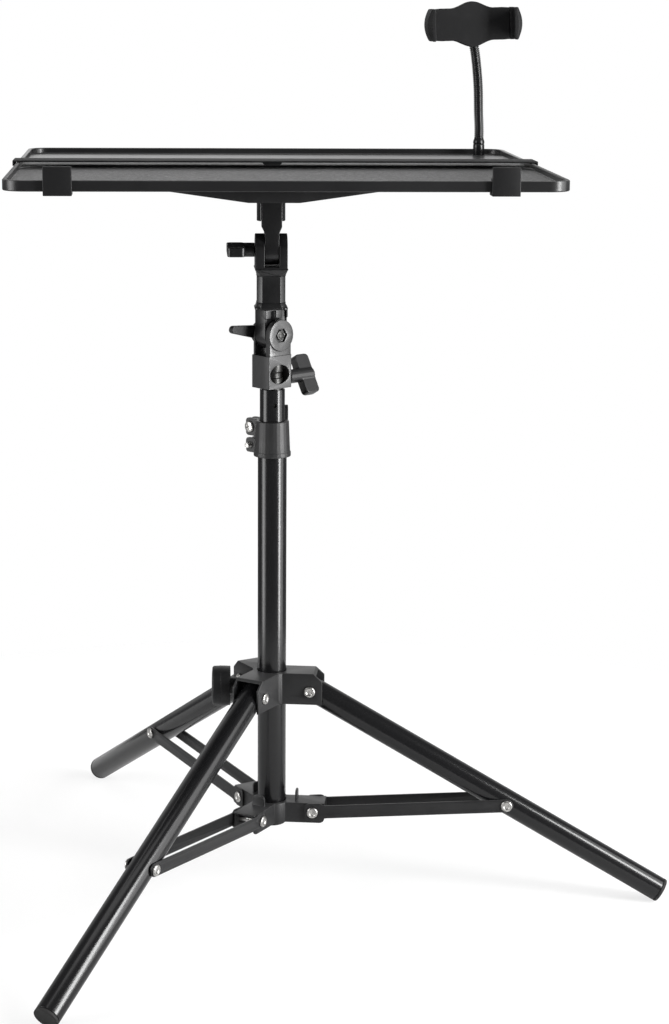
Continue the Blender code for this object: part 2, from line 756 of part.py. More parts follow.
def build_mast_clamp(column):
    shoulder = LOWER_TUBE_TOP_Z + CLEAR
    profile = [
        (0.0, CLAMP_TOP_Z),
        (CLAMP_TOP_R - 0.0006, CLAMP_TOP_Z),
        (CLAMP_TOP_R, CLAMP_TOP_Z - 0.0006),
        (CLAMP_BOTTOM_R - 0.0006, CLAMP_BOTTOM_Z + 0.0040),
        (CLAMP_BOTTOM_R, CLAMP_BOTTOM_Z + 0.0030),
        (CLAMP_BOTTOM_R, CLAMP_BOTTOM_Z),
        (0.0, CLAMP_BOTTOM_Z),
    ]
    clamp = turned("mast_clamp", column, MATTE_BLACK, profile)
    turn = turned_about_z(CLAMP_EAR_AZIMUTH)
    ears = []
    holes = []
    for key, (low, high) in (("upper", CLAMP_UPPER_EAR), ("lower", CLAMP_LOWER_EAR)):
        half = CLAMP_SPLIT / 2 + CLAMP_EAR_THICKNESS
        outline = [
            (LOWER_TUBE_R + SINK, low),
            *arc((CLAMP_EAR_REACH - 0.0025, low + 0.0025), 0.0025, -90, 0, 4),
            *arc((CLAMP_EAR_REACH - 0.0025, high - 0.0025), 0.0025, 0, 90, 4),
            (LOWER_TUBE_R + SINK, high),
        ]
        ears.append(plate("clamp_ear_" + key, column, None, outline, -half, half, "XZ"))
        hole = pin_hole(
            "clamp_hole_" + key, column, CLAMP_SCREW_R, half + OVERCUT,
            (CLAMP_BOLT_AT, 0.0, (low + high) / 2),
        )
        holes.append(hole)
    split = box(
        "clamp_split", column, None,
        (LOWER_TUBE_R - 0.0030, -CLAMP_SPLIT / 2, CLAMP_BOTTOM_Z - OVERCUT),
        (CLAMP_EAR_REACH + OVERCUT, CLAMP_SPLIT / 2, CLAMP_TOP_Z + OVERCUT),
    )
    for guide in (*ears, *holes, split):
        guide.rotation_euler = turn
    boss = box(
        "clamp_boss", column, None,
        (CLAMP_BOSS_X[0], CLAMP_BOSS_Y[0], CLAMP_BOSS_Z[0]),
        (CLAMP_BOSS_X[1], CLAMP_BOSS_Y[1], CLAMP_BOSS_Z[1]),
    )
    inside = cylinder(
        "clamp_inside", column, None, LOWER_TUBE_R + CLEAR, CLAMP_BOTTOM_Z - OVERCUT, shoulder
    )
    inside_top = cylinder(
        "clamp_inside_top", column, None, MAST_R + CLEAR, shoulder - SINK, CLAMP_TOP_Z + OVERCUT
    )
    lever_z = (CLAMP_BOSS_Z[0] + CLAMP_BOSS_Z[1]) / 2
    lever_hole = cylinder(
        "clamp_lever_hole", column, None, LEVER_PIN_R + HOLE_CLEAR, 0.0, HOLE_REACH, "X",
        (0.0, LEVER_PIVOT_Y, lever_z),
        SMALL_ROUND,
    )
    fuse(clamp, *ears, boss)
    cut(clamp, inside, inside_top, split, *holes, lever_hole)
    build_clamp_screws(column, turn)


def build_clamp_screws(column, turn):
    half = CLAMP_SPLIT / 2 + CLAMP_EAR_THICKNESS
    upper = sum(CLAMP_UPPER_EAR) / 2
    lower = sum(CLAMP_LOWER_EAR) / 2
    seat = half + CLEAR
    screw_profile = [
        (0.0, seat + 0.0016),
        (CLAMP_SCREW_HEAD_R * 0.70, seat + 0.0014),
        (CLAMP_SCREW_HEAD_R, seat + 0.0006),
        (CLAMP_SCREW_HEAD_R, seat),
        (CLAMP_SCREW_R, seat),
        (CLAMP_SCREW_R, -half),
        (0.0, -half),
    ]
    bolt_profile = [
        (0.0, half + CLAMP_BOLT_PROUD),
        (CLAMP_SCREW_R, half + CLAMP_BOLT_PROUD),
        (CLAMP_SCREW_R, -seat),
        (CLAMP_SCREW_HEAD_R, -seat),
        (CLAMP_SCREW_HEAD_R, -seat - 0.0022),
        (0.0, -seat - 0.0022),
    ]
    place = Matrix.Rotation(math.radians(CLAMP_EAR_AZIMUTH), 4, "Z")
    for name, profile, height in (
        ("clamp_screw", screw_profile, upper), ("clamp_bolt", bolt_profile, lower)
    ):
        screw = turned(name, column, NICKEL, profile, sides=SMALL_ROUND)
        screw.location = place @ Vector((CLAMP_BOLT_AT, 0.0, height))
        screw.rotation_euler = (place @ AXIS_TURNS["Y"]).to_euler()


def build_clamp_lever(lever):
    """The lever's frame stands on its pin, and the lever rises along +Z."""
    half = LEVER_WIDTH / 2
    near = CLAMP_BOSS_X[1] + CLEAR
    outline = [
        *arc((0.0, LEVER_ABOVE - half), half, 0, 180, 10),
        *arc((0.0, -LEVER_BELOW + half), half, 180, 360, 10),
    ]
    plate_piece = plate("clamp_lever", lever, MATTE_BLACK, outline, near, near + LEVER_THICKNESS, "YZ")
    pin = cylinder(
        "clamp_lever_pin", lever, None, LEVER_PIN_R, CLAMP_BOSS_X[0] + SINK, near + SINK, "X", sides=16
    )
    fuse(plate_piece, pin)


def build_mast(mast):
    """The sliding upper tube and the spigot in its top."""
    inner = MAST_R - MAST_WALL
    tube = turned(
        "upper_tube", mast, GLOSS_BLACK, ring_profile(MAST_R, inner, MAST_BOTTOM_Z, MAST_TOP_Z), closed=True
    )
    hole = cylinder(
        "mast_hole", mast, None, MAST_HOLE_R, 0.0, MAST_R + OVERCUT, "X", (0.0, 0.0, MAST_HOLE_Z), 16
    )
    hole.rotation_euler = turned_about_z(MAST_HOLE_AZIMUTH)
    cut(tube, hole)
    top = SOCKET_BOTTOM_Z + SPIGOT_IN_SOCKET
    profile = [
        (0.0, top),
        (SPIGOT_R - 0.0010, top),
        (SPIGOT_R, top - 0.0010),
        (SPIGOT_R, MAST_TOP_Z - SPIGOT_IN_MAST),
        (0.0, MAST_TOP_Z - SPIGOT_IN_MAST),
    ]
    turned("mast_spigot", mast, NICKEL, profile)


def build_socket_block(socket):
    """The block's own +X is the face with the side hole and the tilt disc. Heights are the stand's."""
    outline = [
        (SOCKET_BACK, SOCKET_LEFT),
        (SOCKET_TAPER_START, SOCKET_LEFT),
        (SOCKET_FRONT, SOCKET_TAPER_END),
        (SOCKET_FRONT, SOCKET_RIGHT),
        (SOCKET_BACK, SOCKET_RIGHT),
    ]
    block = plate("socket_block", socket, GREY_PLASTIC, outline, SOCKET_BOTTOM_Z, SOCKET_TOP_Z, "XY")
    ear_outline = [
        (-TILT_EAR_HALF, SOCKET_TOP_Z - SINK),
        (TILT_EAR_HALF, SOCKET_TOP_Z - SINK),
        *arc((0.0, LOWER_TILT_Z), TILT_EAR_HALF, 0, 180, 12),
    ]
    step = SOCKET_FACE_STEP
    ear = plate("socket_ear", socket, None, ear_outline, TILT_EAR_INNER, SOCKET_FRONT - step, "YZ")
    rear_ear = plate("socket_rear_ear", socket, None, ear_outline, SOCKET_BACK + step, REAR_EAR_INNER, "YZ")
    face = SOCKET_FRONT + TILT_DISC_PROUD
    axis_point = (0.0, 0.0, LOWER_TILT_Z)
    disc = cylinder("socket_disc", socket, None, TILT_DISC_R, TILT_EAR_INNER + SINK, face, "X", axis_point)
    fuse(block, ear, rear_ear, disc)
    bore_top = SOCKET_BOTTOM_Z + SPIGOT_IN_SOCKET + CLEAR
    bore = cylinder("socket_bore", socket, None, SPIGOT_R + CLEAR, SOCKET_BOTTOM_Z - OVERCUT, bore_top)
    middle = (0.0, SIDE_HOLE_Y, SIDE_HOLE_Z)
    side_hole = cylinder(
        "socket_side_hole", socket, None, SIDE_HOLE_HEIGHT / 2, 0.0, SOCKET_FRONT + OVERCUT, "X"
    )
    side_hole.scale = (1.0, SIDE_HOLE_WIDTH / SIDE_HOLE_HEIGHT, 1.0)
    side_hole.location = middle
    pocket = cylinder(
        "socket_hex_pocket", socket, None, HEX_POCKET_R, face - HEX_POCKET_DEPTH, face + OVERCUT, "X",
        axis_point, 6,
    )
    bolt_hole = cylinder(
        "socket_bolt_hole", socket, None, TILT_BOLT_R + HOLE_CLEAR, -HOLE_REACH, HOLE_REACH, "X",
        axis_point, SMALL_ROUND,
    )
    knob_hole = cylinder(
        "socket_knob_hole", socket, None, WING_STUD_R + HOLE_CLEAR, 0.0, SOCKET_RIGHT + OVERCUT, "Y",
        (0.0, 0.0, SOCKET_KNOB_Z), SMALL_ROUND,
    )
    cut(block, bore, side_hole, pocket, bolt_hole, knob_hole)


def winged_knob(name, knob, hub_start, hub_length, stud_tip, turn):
    """A knob along its own +X: a stud from stud_tip, a hub from hub_start and a two-lobed wing past it."""
    wing_start = hub_start + hub_length
    wing_end = wing_start + WING_DEPTH
    body = cylinder(
        name, knob, MATTE_BLACK, WING_HUB_R, hub_start, wing_end - 0.0005, "X", sides=SMALL_ROUND
    )
    stud = cylinder(name + "_stud", knob, None, WING_STUD_R, stud_tip, hub_start + 0.0020, "X", sides=16)
    half = WING_LENGTH / 2
    slim = WING_WIDTH * 0.5
    corner = 0.0030
    outline = [
        *arc((wing_start + corner, -half + corner), corner, 180, 270, 4),
        *arc((wing_end - corner, -half + corner), corner, 270, 360, 4),
        *arc((wing_end - corner, half - corner), corner, 0, 90, 4),
        *arc((wing_start + corner, half - corner), corner, 90, 180, 4),
    ]
    wing = plate(name + "_wing", knob, None, outline, -slim, slim, "XZ")
    wing.rotation_euler = (math.radians(turn), 0.0, 0.0)
    return fuse(body, wing, stud)


def build_tilt_joint(socket, lever):
    """The bolt through both ears, with its head in the hexagonal pocket, and the lever on its back end."""
    lever_near = SOCKET_BACK - CLEAR
    lever_far = lever_near - TILT_LEVER_DEPTH
    head_top = SOCKET_FRONT + TILT_DISC_PROUD - 0.0004
    head_seat = SOCKET_FRONT + TILT_DISC_PROUD - HEX_POCKET_DEPTH + CLEAR
    axis_point = (0.0, 0.0, LOWER_TILT_Z)
    bolt = cylinder(
        "tilt_bolt", socket, NICKEL, TILT_BOLT_R, lever_far + 0.0005, head_seat + 0.0005, "X", axis_point,
        SMALL_ROUND,
    )
    head = cylinder(
        "tilt_bolt_head", socket, None, TILT_BOLT_HEAD_R, head_seat, head_top, "X", axis_point, SMALL_ROUND
    )
    fuse(bolt, head)
    hub = cylinder("tilt_lever", lever, MATTE_BLACK, TILT_LEVER_HUB_R, lever_far, lever_near, "X")
    outline = [
        (0.0, -TILT_LEVER_ROOT_HALF),
        (0.0, TILT_LEVER_ROOT_HALF),
        *arc((-TILT_LEVER_LENGTH + TILT_LEVER_TIP_R, 0.0), TILT_LEVER_TIP_R, 90, 270, 6),
    ]
    arm = plate("tilt_lever_arm", lever, None, outline, lever_far + 0.0003, lever_near - 0.0003, "YZ")
    arm.rotation_euler = (math.radians(-TILT_LEVER_RISE), 0.0, 0.0)
    fuse(hub, arm)
    cut(
        hub,
        cylinder(
            "tilt_lever_hole",
            lever,
            None,
            TILT_BOLT_R + HOLE_CLEAR,
            -HOLE_REACH,
            HOLE_REACH,
            "X",
            sides=SMALL_ROUND,
        ),
    )


def build_knuckle(tilt):
    """The knuckle's frame stands on the lower tilt axis, which is its own X."""
    front = TILT_EAR_INNER - CLEAR
    top = KNUCKLE_TOP_Z - LOWER_TILT_Z
    outline = [
        (KNUCKLE_HALF, top),
        (-KNUCKLE_HALF, top),
        *arc((0.0, 0.0), KNUCKLE_HALF, 180, 360, 16),
    ]
    knuckle = plate("head_knuckle", tilt, MATTE_BLACK, outline, KNUCKLE_BACK, front, "YZ")
    head = box(
        "knuckle_head", tilt, None,
        (KNUCKLE_BACK, -KNUCKLE_HALF, TILT_DISC_R + 0.0006), (front + KNUCKLE_HEAD_STEP, KNUCKLE_HALF, top),
    )
    fuse(knuckle, head)
    bolt_hole = cylinder(
        "knuckle_bolt_hole", tilt, None, TILT_BOLT_R + HOLE_CLEAR, -HOLE_REACH, HOLE_REACH, "X",
        sides=SMALL_ROUND,
    )
    swivel_hole = cylinder(
        "knuckle_swivel_hole", tilt, None, SWIVEL_PIN_R + HOLE_CLEAR, top - SWIVEL_PIN - CLEAR,
        top + OVERCUT,
        sides=SMALL_ROUND,
    )
    grooves = []
    groove_floor = front + KNUCKLE_HEAD_STEP - KNUCKLE_GROOVE_DEPTH
    for number, y in enumerate(KNUCKLE_GROOVE_Y):
        grooves.append(
            box(
                "knuckle_groove_%d" % number, tilt, None,
                (groove_floor, y - KNUCKLE_GROOVE / 2, 0.0060),
                (front + OVERCUT, y + KNUCKLE_GROOVE / 2, top - 0.0010),
            )
        )
    cut(knuckle, bolt_hole, swivel_hole, *grooves)


def fork_octagon(grow=0.0):
    """The fork body's outline from above, with its four corners cut."""
    side = FORK_BODY_HALF + grow
    depth = FORK_HALF_DEPTH + grow
    outline = []
    for sx, sy in ((-1, -1), (1, -1), (1, 1), (-1, 1)):
        along = (FORK_X + sx * (side - FORK_CHAMFER), sy * depth)
        down = (FORK_X + sx * side, sy * (depth - FORK_CHAMFER))
        outline += [down, along] if sx * sy > 0 else [along, down]
    return outline


def build_fork(swivel):
    """The fork's frame stands on the swivel axis. Heights are those of the stand, less the frame's."""
    base = KNUCKLE_TOP_Z + CLEAR
    flange_top = base + FLANGE_THICKNESS
    left = FORK_X - FORK_HALF_WIDTH
    right = FORK_X + FORK_HALF_WIDTH
    octagon = fork_octagon()
    body = plate("fork_body", swivel, SATIN_BLACK, octagon, base, FORK_SHOULDER_Z + SINK, "XY")
    flange_depth = FORK_HALF_DEPTH + 0.0010
    flange_outline = rounded_outline(
        (FORK_X - FLANGE_HALF, -flange_depth), (FORK_X + FLANGE_HALF, flange_depth), (0.0030,) * 4, 3
    )
    flange = plate("fork_flange", swivel, None, flange_outline, base, flange_top, "XY")
    flare_foot = [(x, y, flange_top - 0.0002) for x, y in fork_octagon(0.0012)]
    flare_top = [(x, y, flange_top + FORK_FLARE) for x, y in fork_octagon(0.0001)]
    flare = hull("fork_flare", swivel, None, flare_foot + flare_top)
    pin = cylinder(
        "fork_swivel_pin", swivel, None, SWIVEL_PIN_R, base - SWIVEL_PIN, base + SINK, sides=SMALL_ROUND
    )
    shoulder_z = FORK_SHOULDER_Z + FORK_SHOULDER_RISE
    ear_depth = FORK_EAR_R - 0.0004
    shoulder_foot = [(x, y, FORK_SHOULDER_Z) for x, y in fork_octagon(0.0001)]
    shoulder_top = [(x, y, shoulder_z) for x in (left, right) for y in (-ear_depth, ear_depth)]
    shoulder = hull("fork_shoulder", swivel, None, shoulder_foot + shoulder_top)
    ear_outline = [
        (-ear_depth, shoulder_z - 0.0001),
        (ear_depth, shoulder_z - 0.0001),
        *arc((0.0, UPPER_TILT_Z), FORK_EAR_R, 0, 180, 12),
    ]
    ears = plate("fork_ears", swivel, None, ear_outline, left + 0.0001, right - 0.0001, "YZ")
    slot = box(
        "fork_slot", swivel, None,
        (FORK_SLOT_X - FORK_SLOT_HALF, -HOLE_REACH, FORK_SLOT_FLOOR_Z),
        (FORK_SLOT_X + FORK_SLOT_HALF, HOLE_REACH, UPPER_TILT_Z + HOLE_REACH),
    )
    hole = cylinder(
        "fork_hole", swivel, None, WING_STUD_R + HOLE_CLEAR, -HOLE_REACH, HOLE_REACH, "X",
        (0.0, 0.0, UPPER_TILT_Z), SMALL_ROUND,
    )
    fuse(body, flange, flare, pin, shoulder, ears)
    cut(body, slot, hole)


def build_neck(tray):
    """The neck's frame stands on the upper tilt axis. Heights here are above that axis."""
    tongue_half = FORK_SLOT_HALF - CLEAR
    top = BRACKET_BOTTOM_Z - CLEAR - UPPER_TILT_Z
    bottom = NECK_BOTTOM_Z - UPPER_TILT_Z
    web_back = NECK_Y[1]
    outline = [
        *arc((0.0, 0.0), TONGUE_R, 180, 360, 14),
        (TONGUE_R * 0.80, bottom + 0.0020),
        (NECK_Y[0] * -0.6, bottom + 0.0040),
        (NECK_Y[0], bottom + 0.0040),
    ]
    tongue_left = FORK_SLOT_X - tongue_half
    tongue_right = FORK_SLOT_X + tongue_half
    neck = plate("neck", tray, MATTE_BLACK, outline, tongue_left, tongue_right, "YZ")
    web_outline = [
        (tongue_left, bottom - SINK),
        (tongue_right, bottom - SINK),
        (NECK_X[1], bottom + 0.0040),
        (NECK_X[1], top),
        (NECK_X[0], top),
        (NECK_X[0], bottom + 0.0040),
    ]
    web = plate("neck_web", tray, None, web_outline, NECK_Y[0], web_back, "XZ")
    stem = cylinder("neck_stem", tray, None, NECK_STEM_R, bottom + SINK, top, sides=SMALL_ROUND)
    fuse(neck, web, stem)
    bore = cylinder(
        "neck_bore", tray, None, WING_STUD_R + HOLE_CLEAR, -HOLE_REACH, HOLE_REACH, "X", sides=SMALL_ROUND
    )
    cut(neck, bore)
    sleeve_low = NECK_SLEEVE_BOTTOM_Z - UPPER_TILT_Z
    sleeve = cylinder(
        "neck_sleeve", tray, GREY_PLASTIC, NECK_SLEEVE_R, sleeve_low, top, centre=(NECK_SLEEVE_X, 0.0, 0.0)
    )
    stem_gap = cylinder(
        "neck_sleeve_bore", tray, None, NECK_STEM_R + CLEAR, sleeve_low - OVERCUT, top + OVERCUT, sides=24
    )
    web_gap = box(
        "neck_sleeve_gap", tray, None,
        (NECK_X[0] - CLEAR, -HOLE_REACH, sleeve_low - OVERCUT),
        (NECK_X[1] + CLEAR, web_back + CLEAR, top + OVERCUT),
    )
    cut(sleeve, stem_gap, web_gap)


def build_bracket(tray):
    """A saddle with a sloping arm to each side, and the screws that hold it to the tray."""
    zero = UPPER_TILT_Z
    bottom = BRACKET_BOTTOM_Z - zero
    top = TRAY_TOP_Z - TRAY_HEIGHT - CLEAR - zero
    reach = BRACKET_ARM_REACH
    arm_end = bottom + (reach - BRACKET_FLAT_HALF) * BRACKET_SLOPE
    window_x = BRACKET_BODY_HALF
    window_z = bottom + (window_x - BRACKET_FLAT_HALF) * BRACKET_SLOPE + BRACKET_ARM
    window_end = reach - 0.0030
    window_end_z = bottom + (window_end - BRACKET_FLAT_HALF) * BRACKET_SLOPE + BRACKET_ARM
    half_outline = [
        (BRACKET_FLAT_HALF, bottom),
        (reach, arm_end),
        (reach + 0.0040, top - BRACKET_ARM),
        (BRACKET_REACH, top - BRACKET_ARM),
        (BRACKET_REACH, top),
        (window_end + 0.0015, top),
        (window_end, min(window_end_z, top - 0.0005)),
        (window_x, window_z),
        (window_x - 0.0065, top),
    ]
    outline = half_outline + [(-x, z) for x, z in reversed(half_outline)]
    bracket = plate(
        "tray_bracket", tray, SATIN_BLACK, outline, -BRACKET_HALF_DEPTH, BRACKET_HALF_DEPTH, "XZ"
    )
    flange = top - BRACKET_ARM
    number = 0
    for x in (-BRACKET_SCREW_X, BRACKET_SCREW_X):
        for y in (-BRACKET_SCREW_Y, BRACKET_SCREW_Y):
            number += 1
            hole = cylinder(
                "bracket_hole_%d" % number, tray, None, SCREW_R + HOLE_CLEAR, flange - OVERCUT,
                top + OVERCUT,
                centre=(x, y, 0.0), sides=16,
            )
            cut(bracket, hole)
            seat = flange - CLEAR
            profile = [
                (0.0, top + CLEAR + SCREW_BITE),
                (SCREW_R, top + CLEAR + SCREW_BITE),
                (SCREW_R, seat),
                (SCREW_HEAD_R, seat),
                (SCREW_HEAD_R, seat - SCREW_HEAD * 0.4),
                (SCREW_HEAD_R * 0.6, seat - SCREW_HEAD),
                (0.0, seat - SCREW_HEAD),
            ]
            turned("bracket_screw_%d" % number, tray, NICKEL, profile, centre=(x, y, 0.0), sides=16)


def build_tray(tray):
    zero = UPPER_TILT_Z
    top = TRAY_TOP_Z - zero
    bottom = top - TRAY_HEIGHT
    left = TRAY_OFFSET_X - TRAY_WIDTH / 2
    right = TRAY_OFFSET_X + TRAY_WIDTH / 2
    outline = rounded_outline((left, TRAY_FRONT), (right, TRAY_BACK), (TRAY_CORNER,) * 4, 8)
    pan = plate("tray", tray, TRAY_GREY, outline, bottom, top, "XY")
    inner_left = left + TRAY_RIM
    inner_right = right - TRAY_RIM
    inner_front = TRAY_FRONT + TRAY_RIM
    inner_back = TRAY_BACK - TRAY_RIM
    inner = TRAY_CORNER - TRAY_RIM
    floor = top - TRAY_FLOOR_DEPTH
    ridge = top - RIDGE_DEPTH
    well = plate(
        "tray_well", tray, None,
        rounded_outline((inner_left, inner_front), (inner_right, inner_back), (inner,) * 4, 8), floor,
        top + OVERCUT, "XY",
    )
    ridge_left = inner_left - 0.0005
    ridge_right = inner_right + 0.0005
    front_corner = RECESS_BACK_CORNER
    ridge_outline = [
        (ridge_left - SINK, RIDGE_FRONT - front_corner),
        *arc((ridge_left + front_corner, RIDGE_FRONT - front_corner), front_corner, 180, 90, 10),
        *arc((ridge_right - front_corner, RIDGE_FRONT - front_corner), front_corner, 90, 0, 10),
        (ridge_right + SINK, RIDGE_FRONT - front_corner),
        (ridge_right + SINK, RIDGE_BACK + inner),
        *arc((ridge_right - inner, RIDGE_BACK + inner), inner, 0, -90, 6),
        *arc((ridge_left + inner, RIDGE_BACK + inner), inner, -90, -180, 6),
        (ridge_left - SINK, RIDGE_BACK + inner),
    ]
    step = plate("tray_ridge", tray, None, ridge_outline, floor - SINK, ridge, "XY")
    cut(pan, well)
    fuse(pan, step)
    cutters = []
    number = 0
    for x in (-BRACKET_SCREW_X, BRACKET_SCREW_X):
        for y in (-BRACKET_SCREW_Y, BRACKET_SCREW_Y):
            number += 1
            cutters.append(
                cylinder(
                    "tray_screw_hole_%d" % number, tray, None, SCREW_R + HOLE_CLEAR, bottom - OVERCUT,
                    bottom + SCREW_BITE + CLEAR, centre=(x, y, 0.0), sides=16,
                )
            )
    base = (NECK_BASE_X, NECK_BASE_Y, 0.0)
    stud_hole = SLEEVE_STUD_R + HOLE_CLEAR
    hole = cylinder(
        "tray_stud_hole", tray, None, stud_hole, bottom - OVERCUT, top, centre=base, sides=SMALL_ROUND
    )
    seat = cylinder(
        "tray_sleeve_seat", tray, None, SLEEVE_R + CLEAR, floor - SLEEVE_SEAT_DEPTH, top, centre=base
    )
    cut(pan, *cutters, hole, seat)


def build_cross_bar(bar):
    """A strip over both side rims, with a leg down outside each and a tab under its middle."""
    top = TRAY_TOP_Z + CLEAR + BAR_THICKNESS - UPPER_TILT_Z
    under = top - BAR_THICKNESS
    left = TRAY_OFFSET_X - TRAY_WIDTH / 2 - BAR_OVERHANG
    right = TRAY_OFFSET_X + TRAY_WIDTH / 2 + BAR_OVERHANG
    outline = [
        (left, top - BAR_LEG),
        (left + BAR_THICKNESS, top - BAR_LEG),
        (left + BAR_THICKNESS, under),
        (right - BAR_THICKNESS, under),
        (right - BAR_THICKNESS, top - BAR_LEG),
        (right, top - BAR_LEG),
        (right, top),
        (left, top),
    ]
    strip = plate("cross_bar", bar, MATTE_BLACK, outline, BAR_FRONT, BAR_FRONT + BAR_WIDTH, "XZ")
    half = BAR_TAB_WIDTH / 2
    tab_outline = [
        (-half, under + 0.0005),
        (-half, under - BAR_TAB * 0.4),
        (-half * 0.6, under - BAR_TAB),
        (half * 0.6, under - BAR_TAB),
        (half, under - BAR_TAB * 0.4),
        (half, under + 0.0005),
    ]
    tab = plate(
        "cross_bar_tab", bar, None, tab_outline, BAR_FRONT + 0.0010, BAR_FRONT + 0.0010 + BAR_TAB_DEPTH,
        "XZ",
    )
    fuse(strip, tab)


def build_clip(name, clip):
    """A clip's frame stands at its own middle. Its outline wraps the front rim from above and below."""
    top = TRAY_TOP_Z - UPPER_TILT_Z
    bottom = top - TRAY_HEIGHT
    face_back = TRAY_FRONT - CLEAR
    face_front = face_back - CLIP_SHEET
    lip_front = TRAY_FRONT + TRAY_RIM + CLEAR
    lip_back = lip_front + CLIP_SHEET * 0.7
    lip_low = top - CLIP_LIP_DROP
    outline = [
        (face_front, bottom - CLEAR - CLIP_SHEET),
        (face_front + CLIP_FOOT, bottom - CLEAR - CLIP_SHEET),
        (face_front + CLIP_FOOT, bottom - CLEAR),
        (face_back, bottom - CLEAR),
        (face_back, top + CLEAR),
        (lip_front, top + CLEAR),
        (lip_front, lip_low),
        (lip_back, lip_low),
        (lip_back, top + CLEAR + CLIP_SHEET * 0.7),
        (face_back, top + CLEAR + CLIP_SHEET * 0.7),
        (face_back, top + CLIP_ABOVE_RIM),
        (face_front, top + CLIP_ABOVE_RIM),
    ]
    plate(name, clip, MATTE_BLACK, outline, -CLIP_WIDTH / 2, CLIP_WIDTH / 2, "YZ")


def smooth_route(points, count):
    """Points on a Catmull-Rom curve through the route's own points."""
    knots = [Vector(p) for p in points]
    knots = [2 * knots[0] - knots[1]] + knots + [2 * knots[-1] - knots[-2]]
    route = []
    spans = len(knots) - 3
    for i in range(count + 1):
        at = min(i / count * spans, spans - 1e-9)
        k = int(at)
        t = at - k
        a, b, c, d = knots[k : k + 4]
        square = 2 * a - 5 * b + 4 * c - d
        cube = 3 * b - a - 3 * c + d
        route.append(0.5 * (2 * b + (c - a) * t + square * t**2 + cube * t**3))
    return route


def gooseneck_points():
    """The gooseneck's route in the tray's frame, from just above its sleeve."""
    floor = TRAY_TOP_Z - TRAY_FLOOR_DEPTH - UPPER_TILT_Z
    start = Vector((NECK_BASE_X, NECK_BASE_Y, floor + SLEEVE_HEIGHT + 2 * CLEAR))
    points = [start + Vector(step) for step in GOOSENECK_ROUTE]
    lean = Vector((-math.sin(NECK_LEAN), 0.0, math.cos(NECK_LEAN)))
    return points + [points[-1] + lean * GOOSENECK_END]


def build_gooseneck(tray):
    """The ribbed arm with its base sleeve, its nut under the tray and the elbow and ball at its top."""
    zero = UPPER_TILT_Z
    floor = TRAY_TOP_Z - TRAY_FLOOR_DEPTH - zero
    bottom = TRAY_TOP_Z - TRAY_HEIGHT - zero
    base = (NECK_BASE_X, NECK_BASE_Y, 0.0)
    seat = floor - SLEEVE_SEAT_DEPTH + CLEAR
    sleeve_top = floor + SLEEVE_HEIGHT + CLEAR
    nut_top = bottom - CLEAR
    nut_bottom = nut_top - SLEEVE_NUT
    profile = [
        (0.0, sleeve_top),
        (SLEEVE_R * 0.80, sleeve_top),
        (SLEEVE_R, sleeve_top - SLEEVE_TAPER),
        (SLEEVE_R, seat),
        (SLEEVE_STUD_R, seat),
        (SLEEVE_STUD_R, nut_bottom),
        (0.0, nut_bottom),
    ]
    turned("gooseneck_sleeve", tray, MATTE_BLACK, profile, centre=base, sides=SMALL_ROUND)
    nut = cylinder("gooseneck_nut", tray, NICKEL, SLEEVE_NUT_R, nut_bottom, nut_top, centre=base, sides=6)
    thread = cylinder(
        "gooseneck_nut_hole", tray, None, SLEEVE_STUD_R + HOLE_CLEAR, nut_bottom - OVERCUT,
        nut_top + OVERCUT, centre=base,
        sides=SMALL_ROUND,
    )
    cut(nut, thread)
    points = gooseneck_points()
    length = sum((b - a).length for a, b in zip(points, points[1:]))
    ribs = int(length / GOOSENECK_PITCH)
    route = smooth_route(points, 2 * ribs)
    curve = bpy.data.curves.new("gooseneck", "CURVE")
    curve.dimensions = "3D"
    curve.bevel_depth = GOOSENECK_R
    curve.bevel_resolution = 2
    curve.use_fill_caps = True
    spline = curve.splines.new("POLY")
    spline.points.add(len(route) - 1)
    for i, (point, place) in enumerate(zip(spline.points, route)):
        point.co = (*place, 1.0)
        point.radius = 1.0 if i % 2 == 0 else 1.0 - GOOSENECK_GROOVE / GOOSENECK_R
    add_curve = bpy.data.objects.new("gooseneck", curve)
    PARTS.objects.link(add_curve)
    add_curve.parent = tray
    curve.materials.append(SATIN_BLACK)


def build_ball_arm(arm):
    """The elbow's frame stands on the gooseneck's top end. The ball points to the front."""
    reach = -BALL_REACH
    rise = BALL_RISE
    elbow = cylinder("ball_arm", arm, MATTE_BLACK, ELBOW_R, CLEAR, ELBOW_HEIGHT, sides=SMALL_ROUND)
    neck = cylinder("ball_arm_neck", arm, None, BALL_NECK_R, reach, 0.0, "Y", (0.0, 0.0, rise), 16)
    head = ball("ball_arm_ball", arm, None, BALL_R, (0.0, reach, rise))
    fuse(elbow, neck, head)


def holder_outline(half_width):
    """The holder's front outline: level at its ends and swollen above and below its middle."""
    half_height = HOLDER_HEIGHT / 2
    steps = 12
    lower = []
    for i in range(steps + 1):
        x = -BULGE_HALF_WIDTH + 2 * BULGE_HALF_WIDTH * i / steps
        swell = (1 + math.cos(math.pi * x / BULGE_HALF_WIDTH)) / 2
        lower.append((x, -half_height - BULGE_RISE * swell))
    end_height = half_height - 0.0003
    lower = [(-half_width, -end_height)] + lower + [(half_width, -end_height)]
    return lower + [(x, -z) for x, z in reversed(lower)]


